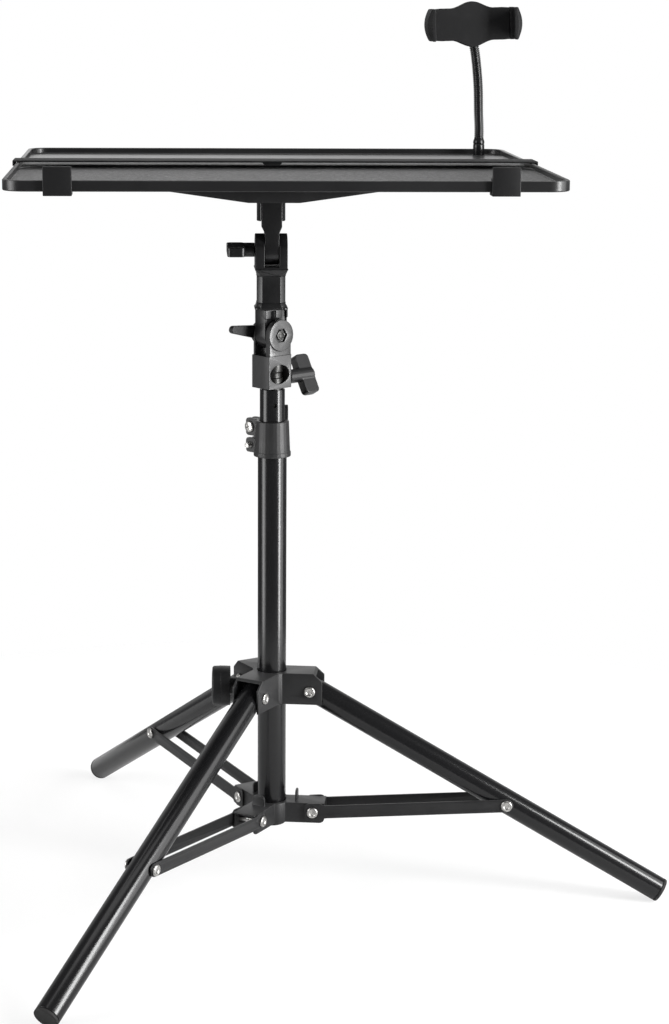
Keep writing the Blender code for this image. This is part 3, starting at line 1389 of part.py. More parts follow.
def build_holder(holder):
    """The holder's frame stands on the ball's centre."""
    body_half = HOLDER_BODY_HALF
    body = plate(
        "holder_body", holder, MATTE_BLACK, holder_outline(body_half), HOLDER_FRONT, HOLDER_BACK, "XZ"
    )
    pad_half = HOLDER_HEIGHT / 2 - 0.0015
    pad_outline = rounded_outline(
        (-PAD_HALF_WIDTH, -pad_half), (PAD_HALF_WIDTH, pad_half), (0.0040,) * 4, 4
    )
    pad_front = HOLDER_FRONT - PAD_PROUD
    pad = plate("holder_pad", holder, None, pad_outline, pad_front, HOLDER_FRONT + SINK, "XZ")
    cup = cylinder("holder_cup", holder, None, SOCKET_CUP_R, HOLDER_BACK - SINK, SOCKET_CUP_BACK, "Y")
    fuse(body, pad, cup)
    hollow = ball("holder_ball_hollow", holder, None, BALL_R + CLEAR, (0.0, 0.0, 0.0))
    mouth = cylinder(
        "holder_mouth", holder, None, BALL_R * 0.55, 0.0, SOCKET_CUP_BACK + 0.004, "Y", sides=24,
        top=SOCKET_CUP_MOUTH_R + 0.0030,
    )
    tongue_y = (HOLDER_FRONT + HOLDER_BACK) / 2
    slots = []
    for side, label in ((-1, "left"), (1, "right")):
        ends = sorted((side * (body_half - JAW_TONGUE - 0.0010), side * (body_half + OVERCUT)))
        slots.append(
            box(
                "holder_slot_" + label, holder, None,
                (ends[0], tongue_y - JAW_TONGUE_THICKNESS / 2 - CLEAR, -JAW_TONGUE_HEIGHT / 2 - CLEAR),
                (ends[1], tongue_y + JAW_TONGUE_THICKNESS / 2 + CLEAR, JAW_TONGUE_HEIGHT / 2 + CLEAR),
            )
        )
    cut(body, hollow, mouth, *slots)


def build_jaw(name, jaw, side):
    """One jaw of the holder, with the lip round the phone and the tongue that runs in the body."""
    inner = HOLDER_BODY_HALF + CLEAR
    outer = inner + JAW_WIDTH
    wall = outer - JAW_WALL
    half_height = HOLDER_HEIGHT / 2
    lip_front = HOLDER_FRONT - JAW_REACH
    hooked = [
        (side * inner, HOLDER_BACK),
        (side * outer, HOLDER_BACK),
        (side * outer, lip_front + 0.0030),
        (side * (outer - 0.0030), lip_front),
        (side * (wall - JAW_LIP), lip_front),
        (side * (wall - JAW_LIP), lip_front + 0.0025),
        (side * wall, lip_front + 0.0050),
        (side * wall, HOLDER_FRONT - 0.0005),
        (side * inner, HOLDER_FRONT),
    ]
    piece = plate(name, jaw, MATTE_BLACK, hooked, -half_height, half_height, "XY")
    ends = sorted((side * (inner - 0.0200), side * outer))
    square = 0.0001
    radii = (square, JAW_CORNER, JAW_CORNER, square) if side > 0 else (
        JAW_CORNER, square, square, JAW_CORNER
    )
    outline = rounded_outline((ends[0], -half_height), (ends[1], half_height), radii, 5)
    rounding = plate(
        name + "_rounding", jaw, None, outline, lip_front - OVERCUT, HOLDER_BACK + OVERCUT, "XZ"
    )
    combine(piece, "INTERSECT", [rounding])
    tongue_y = (HOLDER_FRONT + HOLDER_BACK) / 2
    ends = sorted((side * (HOLDER_BODY_HALF - JAW_TONGUE), side * (inner + SINK)))
    tongue = box(
        name + "_tongue", jaw, None,
        (ends[0], tongue_y - JAW_TONGUE_THICKNESS / 2, -JAW_TONGUE_HEIGHT / 2),
        (ends[1], tongue_y + JAW_TONGUE_THICKNESS / 2, JAW_TONGUE_HEIGHT / 2),
    )
    fuse(piece, tongue)


def brace_geometry():
    """Length of a brace and its rise above the level, from the pivots at rest."""
    leg_x = LEG_PIVOT_R + BRACE_ALONG_LEG * math.cos(LEG_DROP)
    leg_z = LEG_PIVOT_Z - BRACE_ALONG_LEG * math.sin(LEG_DROP)
    along = Vector((leg_x - HUB_PIVOT_R, leg_z - HUB_PIVOT_Z))
    return along.length, math.atan2(along.y, along.x)


def on_azimuth(radius, height, azimuth):
    angle = math.radians(azimuth)
    return (radius * math.cos(angle), radius * math.sin(angle), height)


def build_stand(stand):
    """The column with its collar, legs and braces."""
    build_lower_tube(stand)
    build_brace_hub(stand)
    build_mast_clamp(stand)
    collar = empty("leg_collar_slide", stand, (0.0, 0.0, LEG_PIVOT_Z))
    build_leg_collar(collar)
    knob = empty(
        "collar_knob_turn", collar, (0.0, 0.0, COLLAR_KNOB_ABOVE_PIVOT), turned_about_z(COLLAR_KNOB_AZIMUTH)
    )
    build_collar_knob(knob)
    brace_length, brace_rise = brace_geometry()
    pin_half = COLLAR_CAVITY_HALF + COLLAR_WALL + CLEAR
    hub_pin_half = STRAP_INNER + STRAP_THICKNESS + CLEAR
    for name, azimuth in LEG_AZIMUTHS.items():
        yaw = math.radians(azimuth)
        pivot = empty(
            "leg_pin_place_" + name, collar, on_azimuth(LEG_PIVOT_R, 0.0, azimuth), (0.0, 0.0, yaw)
        )
        headed_pin("leg_pin_" + name, pivot, PIN_R, pin_half)
        leg = empty("leg_hinge_" + name, pivot, turn=(0.0, LEG_DROP, 0.0))
        build_leg(name, leg, stand)
        hub_pivot = empty(
            "hub_pin_place_" + name, stand, on_azimuth(HUB_PIVOT_R, HUB_PIVOT_Z, azimuth), (0.0, 0.0, yaw)
        )
        headed_pin("hub_pin_" + name, hub_pivot, PIN_R, hub_pin_half)
        brace = empty("brace_hinge_" + name, hub_pivot, turn=(0.0, -brace_rise, 0.0))
        build_brace(name, brace, brace_length)
    lever_z = sum(CLAMP_BOSS_Z) / 2
    lever = empty("clamp_lever_swing", stand, (0.0, LEVER_PIVOT_Y, lever_z))
    build_clamp_lever(lever)


def build_head(stand):
    """The mast, the head on it and everything that the head carries."""
    mast = empty("mast_slide", stand)
    build_mast(mast)
    socket = empty("head_pan", mast, turn=turned_about_z(HEAD_TURN))
    build_socket_block(socket)
    socket_knob = empty("socket_knob_turn", socket, (0.0, 0.0, SOCKET_KNOB_Z), turned_about_z(90))
    hub_start = SOCKET_RIGHT + SOCKET_KNOB_STUD
    winged_knob("socket_knob", socket_knob, hub_start, SOCKET_KNOB_HUB, SPIGOT_R + CLEAR, SOCKET_KNOB_TURN)
    tilt_lever = empty("tilt_lever_turn", socket, (0.0, 0.0, LOWER_TILT_Z))
    build_tilt_joint(socket, tilt_lever)
    tilt = empty("lower_tilt", socket, (0.0, 0.0, LOWER_TILT_Z))
    build_knuckle(tilt)
    swivel = empty("fork_swivel", tilt, (0.0, 0.0, -LOWER_TILT_Z), turned_about_z(-HEAD_TURN))
    build_fork(swivel)
    fork_knob = empty("fork_knob_turn", swivel, (0.0, 0.0, UPPER_TILT_Z), turned_about_z(180))
    hub_start = FORK_HALF_WIDTH - FORK_X + CLEAR
    stud_tip = 0.0010 - FORK_HALF_WIDTH - FORK_X
    winged_knob("fork_knob", fork_knob, hub_start, FORK_KNOB_HUB, stud_tip, FORK_KNOB_TURN)
    return empty("upper_tilt", swivel, (0.0, 0.0, UPPER_TILT_Z), (UPPER_TILT_REST, 0.0, 0.0))


def build_tray_set(tray):
    """The neck, the tray and the phone holder. Heights are above the upper tilt axis."""
    build_neck(tray)
    build_bracket(tray)
    build_tray(tray)
    build_cross_bar(empty("cross_bar_slide", tray))
    build_clip("clip_left", empty("clip_left_slide", tray, (CLIP_LEFT_X, 0.0, 0.0)))
    build_clip("clip_right", empty("clip_right_slide", tray, (CLIP_RIGHT_X, 0.0, 0.0)))
    build_gooseneck(tray)
    arm = empty("holder_swivel", tray, gooseneck_points()[-1], (0.0, -NECK_LEAN, 0.0))
    build_ball_arm(arm)
    holder = empty("holder_roll", arm, (0.0, -BALL_REACH, BALL_RISE), (0.0, NECK_LEAN - HOLDER_TILT, 0.0))
    build_holder(holder)
    build_jaw("jaw_left", empty("jaw_left_slide", holder), -1)
    build_jaw("jaw_right", empty("jaw_right_slide", holder), 1)


def centre_on_footprint(stand):
    """Moves the whole stand so that its outline's middle from above is the origin and its feet are at 0."""
    bpy.context.view_layer.update()
    graph = bpy.context.evaluated_depsgraph_get()
    low = Vector((1e9, 1e9, 1e9))
    high = -low
    for piece in PARTS.objects:
        if piece.type == "EMPTY":
            continue
        seen = piece.evaluated_get(graph)
        mesh = seen.to_mesh()
        for vertex in mesh.vertices:
            place = seen.matrix_world @ vertex.co
            low = Vector(map(min, low, place))
            high = Vector(map(max, high, place))
        seen.to_mesh_clear()
    stand.location = (-(low.x + high.x) / 2, -(low.y + high.y) / 2, -low.z)
    bpy.context.view_layer.update()


def main():
    stand = empty("stand", None)
    build_stand(stand)
    build_tray_set(build_head(stand))
    centre_on_footprint(stand)


main()
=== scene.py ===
import json
import math

import bmesh
import bpy
from mathutils import Matrix, Vector


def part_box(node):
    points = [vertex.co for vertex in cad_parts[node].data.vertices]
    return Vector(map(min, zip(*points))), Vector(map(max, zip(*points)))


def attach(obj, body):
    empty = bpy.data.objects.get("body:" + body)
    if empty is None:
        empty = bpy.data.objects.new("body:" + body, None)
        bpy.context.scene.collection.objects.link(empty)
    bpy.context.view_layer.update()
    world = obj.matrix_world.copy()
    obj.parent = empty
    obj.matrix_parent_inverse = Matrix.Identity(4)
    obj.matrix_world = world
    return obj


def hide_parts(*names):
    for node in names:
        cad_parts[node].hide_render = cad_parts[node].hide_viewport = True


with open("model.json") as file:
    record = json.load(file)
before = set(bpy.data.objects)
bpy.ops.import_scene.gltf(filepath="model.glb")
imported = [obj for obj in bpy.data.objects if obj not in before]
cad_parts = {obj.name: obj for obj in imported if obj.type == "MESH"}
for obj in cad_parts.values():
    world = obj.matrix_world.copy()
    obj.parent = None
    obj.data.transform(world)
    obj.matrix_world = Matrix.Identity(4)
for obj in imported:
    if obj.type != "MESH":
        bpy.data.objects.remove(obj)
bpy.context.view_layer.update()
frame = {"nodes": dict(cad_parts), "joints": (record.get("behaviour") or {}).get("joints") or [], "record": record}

RECORD = frame["record"]
BODY_OF = {node: body for body, nodes in RECORD["behaviour"]["bodies"].items() for node in nodes}
SLOT_OF = {part["node"]: part["material_slot"] for part in RECORD["subparts"]}
JOINTS = {joint["name"]: joint for joint in frame["joints"]}
WHITE = (1.0, 1.0, 1.0, 1.0)


# Node trees

class Value:
    """A socket of a node tree that takes part in sums and products."""

    def __init__(self, nodes, socket):
        self.nodes = nodes
        self.socket = socket

    def worked_out(self, operation, first, second):
        return self.nodes.value("ShaderNodeMath", {"operation": operation}, {0: first, 1: second})

    def __add__(self, other):
        return self.worked_out("ADD", self, other)

    def __radd__(self, other):
        return self.worked_out("ADD", other, self)

    def __sub__(self, other):
        return self.worked_out("SUBTRACT", self, other)

    def __rsub__(self, other):
        return self.worked_out("SUBTRACT", other, self)

    def __mul__(self, other):
        return self.worked_out("MULTIPLY", self, other)

    def __rmul__(self, other):
        return self.worked_out("MULTIPLY", other, self)

    def __truediv__(self, other):
        return self.worked_out("DIVIDE", self, other)

    def __rtruediv__(self, other):
        return self.worked_out("DIVIDE", other, self)

    def at_most(self, other):
        return self.worked_out("MINIMUM", self, other)

    def at_least(self, other):
        return self.worked_out("MAXIMUM", self, other)

    def within(self, low, high):
        """0 below low, 1 above high and a straight rise between them."""
        return ((self - low) / (high - low)).at_least(0.0).at_most(1.0)


class Nodes:
    """A node tree, with one call that adds any node to it."""

    def __init__(self, tree):
        self.tree = tree

    def node(self, kind, settings=None, inputs=None):
        """A node of one kind, its settings made first and then its sockets filled or linked."""
        made = self.tree.nodes.new(kind)
        for key, setting in (settings or {}).items():
            setattr(made, key, setting)
        for key, value in (inputs or {}).items():
            self.fill(made.inputs[key], value)
        return made

    def fill(self, socket, value):
        """Links a socket to a value, or to each of a list of them, or sets it to plain numbers."""
        for one in value if isinstance(value, list) else [value]:
            if isinstance(one, Value):
                self.tree.links.new(one.socket, socket)
            else:
                socket.default_value = one

    def value(self, kind, settings=None, inputs=None, output=0):
        """One output of a new node, ready for sums."""
        return Value(self, self.node(kind, settings, inputs).outputs[output])

    def part_of(self, vector, axis):
        return self.value("ShaderNodeSeparateXYZ", None, {"Vector": vector}, axis)


class Finish(Nodes):
    """One material with its Principled shader, and short calls for the patterns that feed it."""

    def __init__(self, name):
        self.material = bpy.data.materials.new(name)
        self.material.use_nodes = True
        super().__init__(self.material.node_tree)
        self.shader = self.tree.nodes["Principled BSDF"]
        coordinates = self.node("ShaderNodeTexCoord").outputs
        self.place = Value(self, coordinates["Object"])
        self.normal = Value(self, coordinates["Normal"])

    def set(self, **values):
        """Fills the shader's sockets, named with underscores for spaces."""
        for key, value in values.items():
            self.fill(self.shader.inputs[key.replace("_", " ")], value)

    def stretched(self, scale):
        return self.value("ShaderNodeMapping", None, {"Vector": self.place, "Scale": scale})

    def noise(self, scale, detail=3.0, rough=0.55, place=None):
        inputs = {"Vector": place or self.place, "Scale": scale, "Detail": detail, "Roughness": rough}
        return self.value("ShaderNodeTexNoise", None, inputs)

    def pebbles(self, scale):
        inputs = {"Vector": self.place, "Scale": scale, "Smoothness": 0.6}
        return self.value("ShaderNodeTexVoronoi", {"feature": "SMOOTH_F1"}, inputs, "Distance")

    def facing_up(self):
        """1 where the surface looks up, 0 where it is upright or looks down."""
        return self.part_of(self.normal, "Z").within(0.35, 0.95)

    def mix(self, amount, first, second):
        """A colour between two colours, by amount."""
        made = self.node("ShaderNodeMix", {"data_type": "RGBA"}, {"Factor": amount})
        colours = [socket for socket in made.inputs if socket.type == "RGBA"]
        for socket, colour in zip(colours, (first, second)):
            self.fill(socket, colour if isinstance(colour, Value) else (*colour, 1.0))
        return Value(self, next(socket for socket in made.outputs if socket.type == "RGBA"))

    def bumps(self, *layers):
        """Bump nodes in a chain, each from a height and its size in metres."""
        normal = None
        for height, size in layers:
            inputs = {"Height": height, "Distance": size, "Strength": 1.0}
            if normal is not None:
                inputs["Normal"] = normal
            normal = self.value("ShaderNodeBump", None, inputs)
        self.set(Normal=normal)


# Finishes

def gloss_black_paint():
    """Thick gloss paint on tube: a faint orange peel, hairline rubs along the tube and a little dust."""
    made = Finish("gloss_black_paint")
    peel = made.noise(420.0, 2.0)
    rubs = made.noise(1.0, 4.0, 0.6, made.stretched((900.0, 900.0, 60.0)))
    dust = made.noise(2200.0, 2.0).within(0.66, 0.76) * made.noise(55.0, 2.0).within(0.45, 0.65)
    made.set(
        Base_Color=made.mix(dust * 0.25, (0.006, 0.006, 0.0065), (0.05, 0.05, 0.05)),
        Roughness=0.20 + rubs.within(0.55, 0.80) * 0.10 + dust * 0.2,
        Specular_IOR_Level=0.42,
    )
    made.bumps((peel, 0.0000025), (rubs, 0.0000008))
    return made.material


def satin_black_sheet():
    """Powder coat on bent steel: a fine even grain, and a paler film where it looks up, partly dust and partly
    painted sheen.
    """
    made = Finish("satin_black_sheet")
    grain = made.noise(2400.0, 2.0)
    cloud = made.noise(45.0, 3.0)
    # Painted light as well as dust: faces that look up get a paler colour, standing in for the sheen they catch.
    dust = made.facing_up()
    coat = made.mix(cloud.within(0.3, 0.7), (0.008, 0.008, 0.0085), (0.013, 0.013, 0.0135))
    made.set(
        Base_Color=made.mix(dust * (0.6 + cloud * 0.8), coat, (0.034, 0.034, 0.0345)),
        Roughness=0.37 + cloud * 0.14,
        Specular_IOR_Level=0.36,
    )
    made.bumps((grain, 0.00003))
    return made.material


def matte_black_plastic():
    """Moulded plastic with an eroded texture, greyer where hands rub it."""
    made = Finish("matte_black_plastic")
    grain = made.noise(3000.0, 3.0)
    rubbed = made.noise(70.0, 3.0).within(0.45, 0.75)
    made.set(
        Base_Color=made.mix(rubbed * 0.6, (0.0065, 0.0065, 0.007), (0.011, 0.011, 0.0115)),
        Roughness=0.46 - rubbed * 0.10 + grain * 0.06,
        Specular_IOR_Level=0.32,
    )
    made.bumps((grain, 0.000025))
    return made.material


def grey_plastic():
    """Dark grey satin casting with a blasted skin; the faces that look left carry painted shade, blacker in
    colour, and are also duller.
    """
    made = Finish("grey_plastic")
    grain = made.noise(1900.0, 3.0)
    cloud = made.noise(60.0, 4.0)
    painted_shade_flank = (0.0 - made.part_of(made.normal, "X")).within(0.30, 0.75)
    bare = made.mix(cloud.within(0.3, 0.7), (0.015, 0.015, 0.0155), (0.019, 0.019, 0.0195))
    made.set(
        # Painted shade: the faces that look left are coloured near black, as if in shadow.
        Base_Color=made.mix(painted_shade_flank, bare, (0.006, 0.006, 0.0065)),
        Roughness=0.21 + cloud * 0.05 + painted_shade_flank * 0.50,
        Specular_IOR_Level=0.6,
    )
    made.bumps((grain, 0.00003))
    return made.material


def semi_gloss_plastic():
    """Moulded clamp plastic, polished by handling."""
    made = Finish("semi_gloss_plastic")
    grain = made.noise(900.0, 2.0)
    rubbed = made.noise(90.0, 3.0).within(0.40, 0.70)
    made.set(
        Base_Color=made.mix(rubbed, (0.013, 0.013, 0.0135), (0.020, 0.020, 0.0205)),
        Roughness=0.45 - rubbed * 0.07,
        Specular_IOR_Level=0.42,
    )
    made.bumps((grain, 0.000008))
    return made.material


def dull_black_strip():
    """Dull coating on the cross bar, which hardly mirrors the room even along its length."""
    made = Finish("dull_black_strip")
    grain = made.noise(2400.0, 3.0)
    rubbed = made.noise(60.0, 3.0).within(0.45, 0.75)
    made.set(
        Base_Color=made.mix(rubbed, (0.010, 0.010, 0.0105), (0.018, 0.018, 0.0185)),
        Roughness=0.58 + grain * 0.08,
        Specular_IOR_Level=0.12,
    )
    made.bumps((grain, 0.00003))
    return made.material


def satin_black_casting():
    """Black enamel on the head's castings and wings, slightly uneven, and rough where it looks up."""
    made = Finish("satin_black_casting")
    skin = made.noise(500.0, 3.0)
    cloud = made.noise(70.0, 3.0)
    made.set(
        Base_Color=made.mix(cloud.within(0.3, 0.7), (0.006, 0.006, 0.0065), (0.009, 0.009, 0.0095)),
        Roughness=0.27 + cloud * 0.08 + made.facing_up() * 0.40,
        Specular_IOR_Level=0.42,
    )
    made.bumps((skin, 0.000012))
    return made.material


def soft_touch_black():
    """Rubbery coating on the phone holder, duller than the plastic and a little dusty."""
    made = Finish("soft_touch_black")
    grain = made.noise(2600.0, 3.0)
    dust = made.noise(120.0, 4.0).within(0.5, 0.75)
    made.set(
        Base_Color=made.mix(dust * 0.5, (0.0075, 0.0075, 0.008), (0.013, 0.013, 0.0135)),
        Roughness=0.60 + grain * 0.08,
        Specular_IOR_Level=0.22,
    )
    made.bumps((grain, 0.00002))
    return made.material


def black_steel():
    """Blackened steel of the gooseneck's ribs, dark in the grooves and bright on the crests."""
    made = Finish("black_steel")
    wear = made.noise(700.0, 3.0).within(0.45, 0.7)
    made.set(
        Base_Color=made.mix(wear, (0.004, 0.004, 0.0045), (0.012, 0.012, 0.012)),
        Roughness=0.16 + wear * 0.08,
        Specular_IOR_Level=0.55,
    )
    made.bumps((wear, 0.000006))
    return made.material


def dull_zinc():
    """Passivated zinc on hidden steel, grey and cloudy with fine turning marks."""
    made = Finish("dull_zinc")
    cloud = made.noise(500.0, 4.0)
    marks = made.noise(1.0, 2.0, 0.5, made.stretched((400.0, 400.0, 5200.0)))
    made.set(
        Base_Color=made.mix(cloud.within(0.35, 0.65), (0.060, 0.060, 0.0585), (0.025, 0.025, 0.0245)),
        Metallic=1.0,
        Roughness=0.30 + cloud * 0.16,
    )
    made.bumps((marks, 0.000008))
    return made.material


def pebbled_tray():
    """Black tray plastic with shiny walls, a rear shelf painted a plain paler grey as painted light, and a paler,
    pebbled floor in front of it.
    """
    made = Finish("pebbled_tray")
    pebble = made.pebbles(1050.0)
    hide = made.noise(420.0, 3.0, 0.7).within(0.36, 0.64)
    cloud = made.noise(18.0, 4.0)
    shelf = made.part_of(made.place, "Y").within(0.045, 0.060)
    floor = made.facing_up()
    front = floor * (1.0 - shelf)
    worn = made.mix(cloud.within(0.35, 0.7), (0.0085, 0.0085, 0.009), (0.013, 0.013, 0.0135))
    pebbled = made.mix(hide, (0.040, 0.040, 0.0405), (0.090, 0.090, 0.0905))
    made.set(
        # The rear shelf's plain grey, paler than the walls, is painted light standing in for the light it catches
        # from behind.
        Base_Color=made.mix(floor, worn, made.mix(shelf, pebbled, (0.040, 0.040, 0.0405))),
        Roughness=0.28 + cloud * 0.06 + front * (hide * 0.30 + 0.12),
        Specular_IOR_Level=0.45,
    )
    made.bumps((pebble * front, 0.00016), (hide * front, 0.00012))
    return made.material


def bright_nickel():
    """Nickel plate with fine rubs and duller patches."""
    made = Finish("bright_nickel")
    rubs = made.noise(1.0, 3.0, 0.6, made.stretched((300.0, 2600.0, 2600.0)))
    cloud = made.noise(320.0, 3.0)
    made.set(
        Base_Color=made.mix(cloud.within(0.35, 0.65), (0.62, 0.61, 0.59), (0.34, 0.335, 0.325)),
        Metallic=1.0,
        Roughness=0.24 + cloud * 0.18,
    )
    made.bumps((rubs, 0.000004))
    return made.material


def foot_rubber():
    """Black rubber, slightly dusty where it looks up."""
    made = Finish("foot_rubber")
    grain = made.noise(1500.0, 4.0)
    dust = made.facing_up() * made.noise(160.0, 3.0).within(0.4, 0.7)
    made.set(
        Base_Color=made.mix(dust * 0.25, (0.014, 0.014, 0.014), (0.06, 0.058, 0.055)),
        Roughness=0.66 + grain * 0.12,
        Specular_IOR_Level=0.35,
    )
    made.bumps((grain, 0.00003))
    return made.material


FINISHES = {
    make.__name__: make()
    for make in (
        gloss_black_paint, satin_black_sheet, matte_black_plastic, semi_gloss_plastic, soft_touch_black,
        black_steel, dull_black_strip, satin_black_casting, grey_plastic, pebbled_tray, bright_nickel,
        dull_zinc, foot_rubber,
    )
}


# Mesh helpers

WELD = 0.000004
SEAM = 0.0000001
FLAT_WITHIN = math.radians(0.6)
BEVEL_FROM = math.radians(32)


def scene_object(name, data):
    made = bpy.data.objects.new(name, data)
    bpy.context.scene.collection.objects.link(made)
    return made


def fitted(name, mesh, node, finish=None):
    """Puts a finished mesh in the scene in a node's place, on its body and with its own finish or another."""
    piece = scene_object(name, mesh)
    mesh.materials.clear()
    mesh.materials.append(FINISHES[finish or SLOT_OF[node]])
    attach(piece, BODY_OF[node])
    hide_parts(node)
    return piece


def shaded(mesh, angle=30):
    """The mesh shaded smooth, with sharp edges from an angle up."""
    mesh.shade_smooth()
    mesh.set_sharp_from_angle(angle=math.radians(angle))
    return mesh


def mesh_of(bm, name):
    """A plain mesh from a finished bmesh."""
    mesh = bpy.data.meshes.new(name)
    bm.to_mesh(mesh)
    bm.free()
    return mesh


def merged_copy(node):
    """A node's mesh with its loose triangles joined and its flat areas made whole faces again."""
    bm = bmesh.new()
    bm.from_mesh(frame["nodes"][node].data)
    bmesh.ops.remove_doubles(bm, verts=bm.verts, dist=WELD)
    bmesh.ops.dissolve_limit(bm, angle_limit=FLAT_WITHIN, verts=bm.verts, edges=bm.edges, delimit={"NORMAL"})
    bmesh.ops.recalc_face_normals(bm, faces=bm.faces)
    return mesh_of(bm, node + "_shape")


def evaluated(carrier):
    """The plain mesh of an object with its modifiers, which is then removed."""
    bpy.context.view_layer.update()
    mesh = bpy.data.meshes.new_from_object(carrier.evaluated_get(bpy.context.evaluated_depsgraph_get()))
    bpy.data.objects.remove(carrier)
    return mesh


def applied(mesh, *steps):
    """The mesh after modifiers, each given as its type and settings."""
    carrier = scene_object("carrier", mesh)
    for kind, settings in steps:
        step = carrier.modifiers.new(kind, kind)
        for key, value in settings.items():
            setattr(step, key, value)
    return evaluated(carrier)


def machined(node, width, segments=3, finish=None):
    """A node with small rounds along its edges."""
    settings = {
        "width": width,
        "segments": segments,
        "limit_method": "ANGLE",
        "angle_limit": BEVEL_FROM,
        "use_clamp_overlap": False,
        "harden_normals": False,
        "miter_outer": "MITER_ARC",
    }
    mesh = applied(merged_copy(node), ("BEVEL", settings))
    return fitted(node + "_finished", shaded(mesh, 35), node, finish)


def reshaped(mesh, place, move):
    """The mesh with each point moved by a function of its x, y and z in a placing matrix."""
    back = place.inverted()
    for vertex in mesh.vertices:
        vertex.co = place @ Vector(move(*(back @ vertex.co)))
    return mesh


def moulded(node, grain, passes, finish=None, place=None, move=None):
    """A node with soft moulded corners, by a fine even mesh that is smoothed, and reshaped first if asked."""
    mesh = merged_copy(node)
    if move:
        mesh = reshaped(applied(mesh, ("REMESH", {"mode": "VOXEL", "voxel_size": grain})), place, move)
    mesh = applied(
        mesh,
        ("REMESH", {"mode": "VOXEL", "voxel_size": grain, "adaptivity": 0.0}),
        ("SMOOTH", {"factor": 0.5, "iterations": passes}),
    )
    return fitted(node + "_finished", shaded(mesh, 60), node, finish)


def softened(points, radius, steps=3):
    """A profile whose inner corners are rounded."""
    made = [points[0]]
    for before, corner, after in zip(points, points[1:], points[2:]):
        corner, before, after = Vector(corner), Vector(before), Vector(after)
        reach = min(radius, (before - corner).length * 0.45, (after - corner).length * 0.45)
        start = corner + (before - corner).normalized() * reach
        end = corner + (after - corner).normalized() * reach
        for i in range(steps + 1):
            t = i / steps
            made.append(tuple(start * (1 - t) ** 2 + corner * 2 * t * (1 - t) + end * t * t))
    return made + [points[-1]]


def lathed(profile, place, sides=48):
    """A profile of (radius, height) turned round a placing matrix's Z. Equal ends are joined into a ring."""
    bm = bmesh.new()
    rows = []
    for radius, height in profile:
        if radius < SEAM:
            rows.append([bm.verts.new(place @ Vector((0.0, 0.0, height)))])
            continue
        row = []
        for i in range(sides):
            angle = 2 * math.pi * i / sides
            point = Vector((radius * math.cos(angle), radius * math.sin(angle), height))
            row.append(bm.verts.new(place @ point))
        rows.append(row)
    for first, second in zip(rows, rows[1:]):
        for i in range(sides):
            j = (i + 1) % sides
            if len(first) == 1:
                bm.faces.new((first[0], second[i], second[j]))
            elif len(second) == 1:
                bm.faces.new((first[i], second[0], first[j]))
            else:
                bm.faces.new((first[i], second[i], second[j], first[j]))
    bmesh.ops.remove_doubles(bm, verts=bm.verts, dist=SEAM)
    bmesh.ops.recalc_face_normals(bm, faces=bm.faces)
    return shaded(mesh_of(bm, "turned"))


def joined(*meshes):
    """Several meshes as one."""
    bm = bmesh.new()
    for mesh in meshes:
        bm.from_mesh(mesh)
    return shaded(mesh_of(bm, "joined"))


def block(place, low, high):
    """A box between two corners in a placing matrix."""
    bm = bmesh.new()
    size = [h - l for l, h in zip(low, high)]
    middle = [(h + l) / 2 for l, h in zip(low, high)]
    stretch = Matrix.Diagonal((*size, 1.0))
    bmesh.ops.create_cube(bm, size=1.0, matrix=place @ Matrix.Translation(middle) @ stretch)
    return mesh_of(bm, "block")


def carved(mesh, *cutters):
    """The mesh less some closed forms."""
    carriers = [scene_object("cutter", cutter) for cutter in cutters]
    settings = {"operation": "DIFFERENCE", "solver": "EXACT"}
    done = applied(mesh, *[("BOOLEAN", {**settings, "object": carrier}) for carrier in carriers])
    for carrier in carriers:
        bpy.data.objects.remove(carrier)
    return shaded(done)


def drill(place, radius, low, high):
    """The round form that cuts a hole along Z."""
    return lathed([(0.0, low), (radius, low), (radius, high), (0.0, high)], place, 24)


def cross_recess(place, span, width, depth):
    """A cross-shaped driver recess that goes down from a placing matrix's origin along -Z."""
    arms = []
    for turn in (20, 110):
        arm = place @ Matrix.Rotation(math.radians(turn), 4, "Z")
        arms.append(block(arm, (-span, -width, -depth), (span, width, 0.002)))
    return arms


# Places that the CAD gives

X = Vector((1.0, 0.0, 0.0))
Y = Vector((0.0, 1.0, 0.0))
Z = Vector((0.0, 0.0, 1.0))


def centre(node):
    low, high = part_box(node)
    return (low + high) / 2


def joint_place(name):
    return Vector(JOINTS[name]["pos_m"])


def joint_axis(name):
    return Vector(JOINTS[name]["axis"]).normalized()


def axes_at(origin, x, y, z):
    return Matrix.Translation(origin) @ Matrix((x, y, z)).transposed().to_4x4()


def axis_frame(origin, along, side=Z):
    """A matrix whose Z runs along a direction from an origin."""
    z = Vector(along).normalized()
    x = side.cross(z)
    if x.length < 1e-4:
        x = Vector((1.0, 0.0, 0.0))
    x.normalize()
    return axes_at(origin, x, z.cross(x), z)


def placed(origin, x, y):
    """A matrix with its own X and Y along two directions."""
    x = Vector(x).normalized()
    z = x.cross(Vector(y)).normalized()
    return axes_at(origin, x, z.cross(x), z)


def turned_to(matrix, axis):
    """The matrix with its Z swung round to its own X or Y."""
    turns = {"X": Matrix.Rotation(math.radians(90), 4, "Y"), "Y": Matrix.Rotation(math.radians(-90), 4, "X")}
    return matrix @ turns[axis]


def shifted(matrix, x=0.0, y=0.0, z=0.0):
    return matrix @ Matrix.Translation((x, y, z))


LEGS = ("a", "b", "c")
AXIS = centre("lower_tube")
AXIS.z = 0.0
COLUMN = Matrix.Translation(AXIS)
TRAY = placed(joint_place("upper_tilt"), X, joint_axis("cross_bar_slide"))
SOCKET = placed(joint_place("lower_tilt"), joint_axis("lower_tilt"), Z.cross(joint_axis("lower_tilt")))
HOLDER = placed(joint_place("holder_roll"), joint_axis("jaw_right_slide"), joint_axis("holder_roll"))


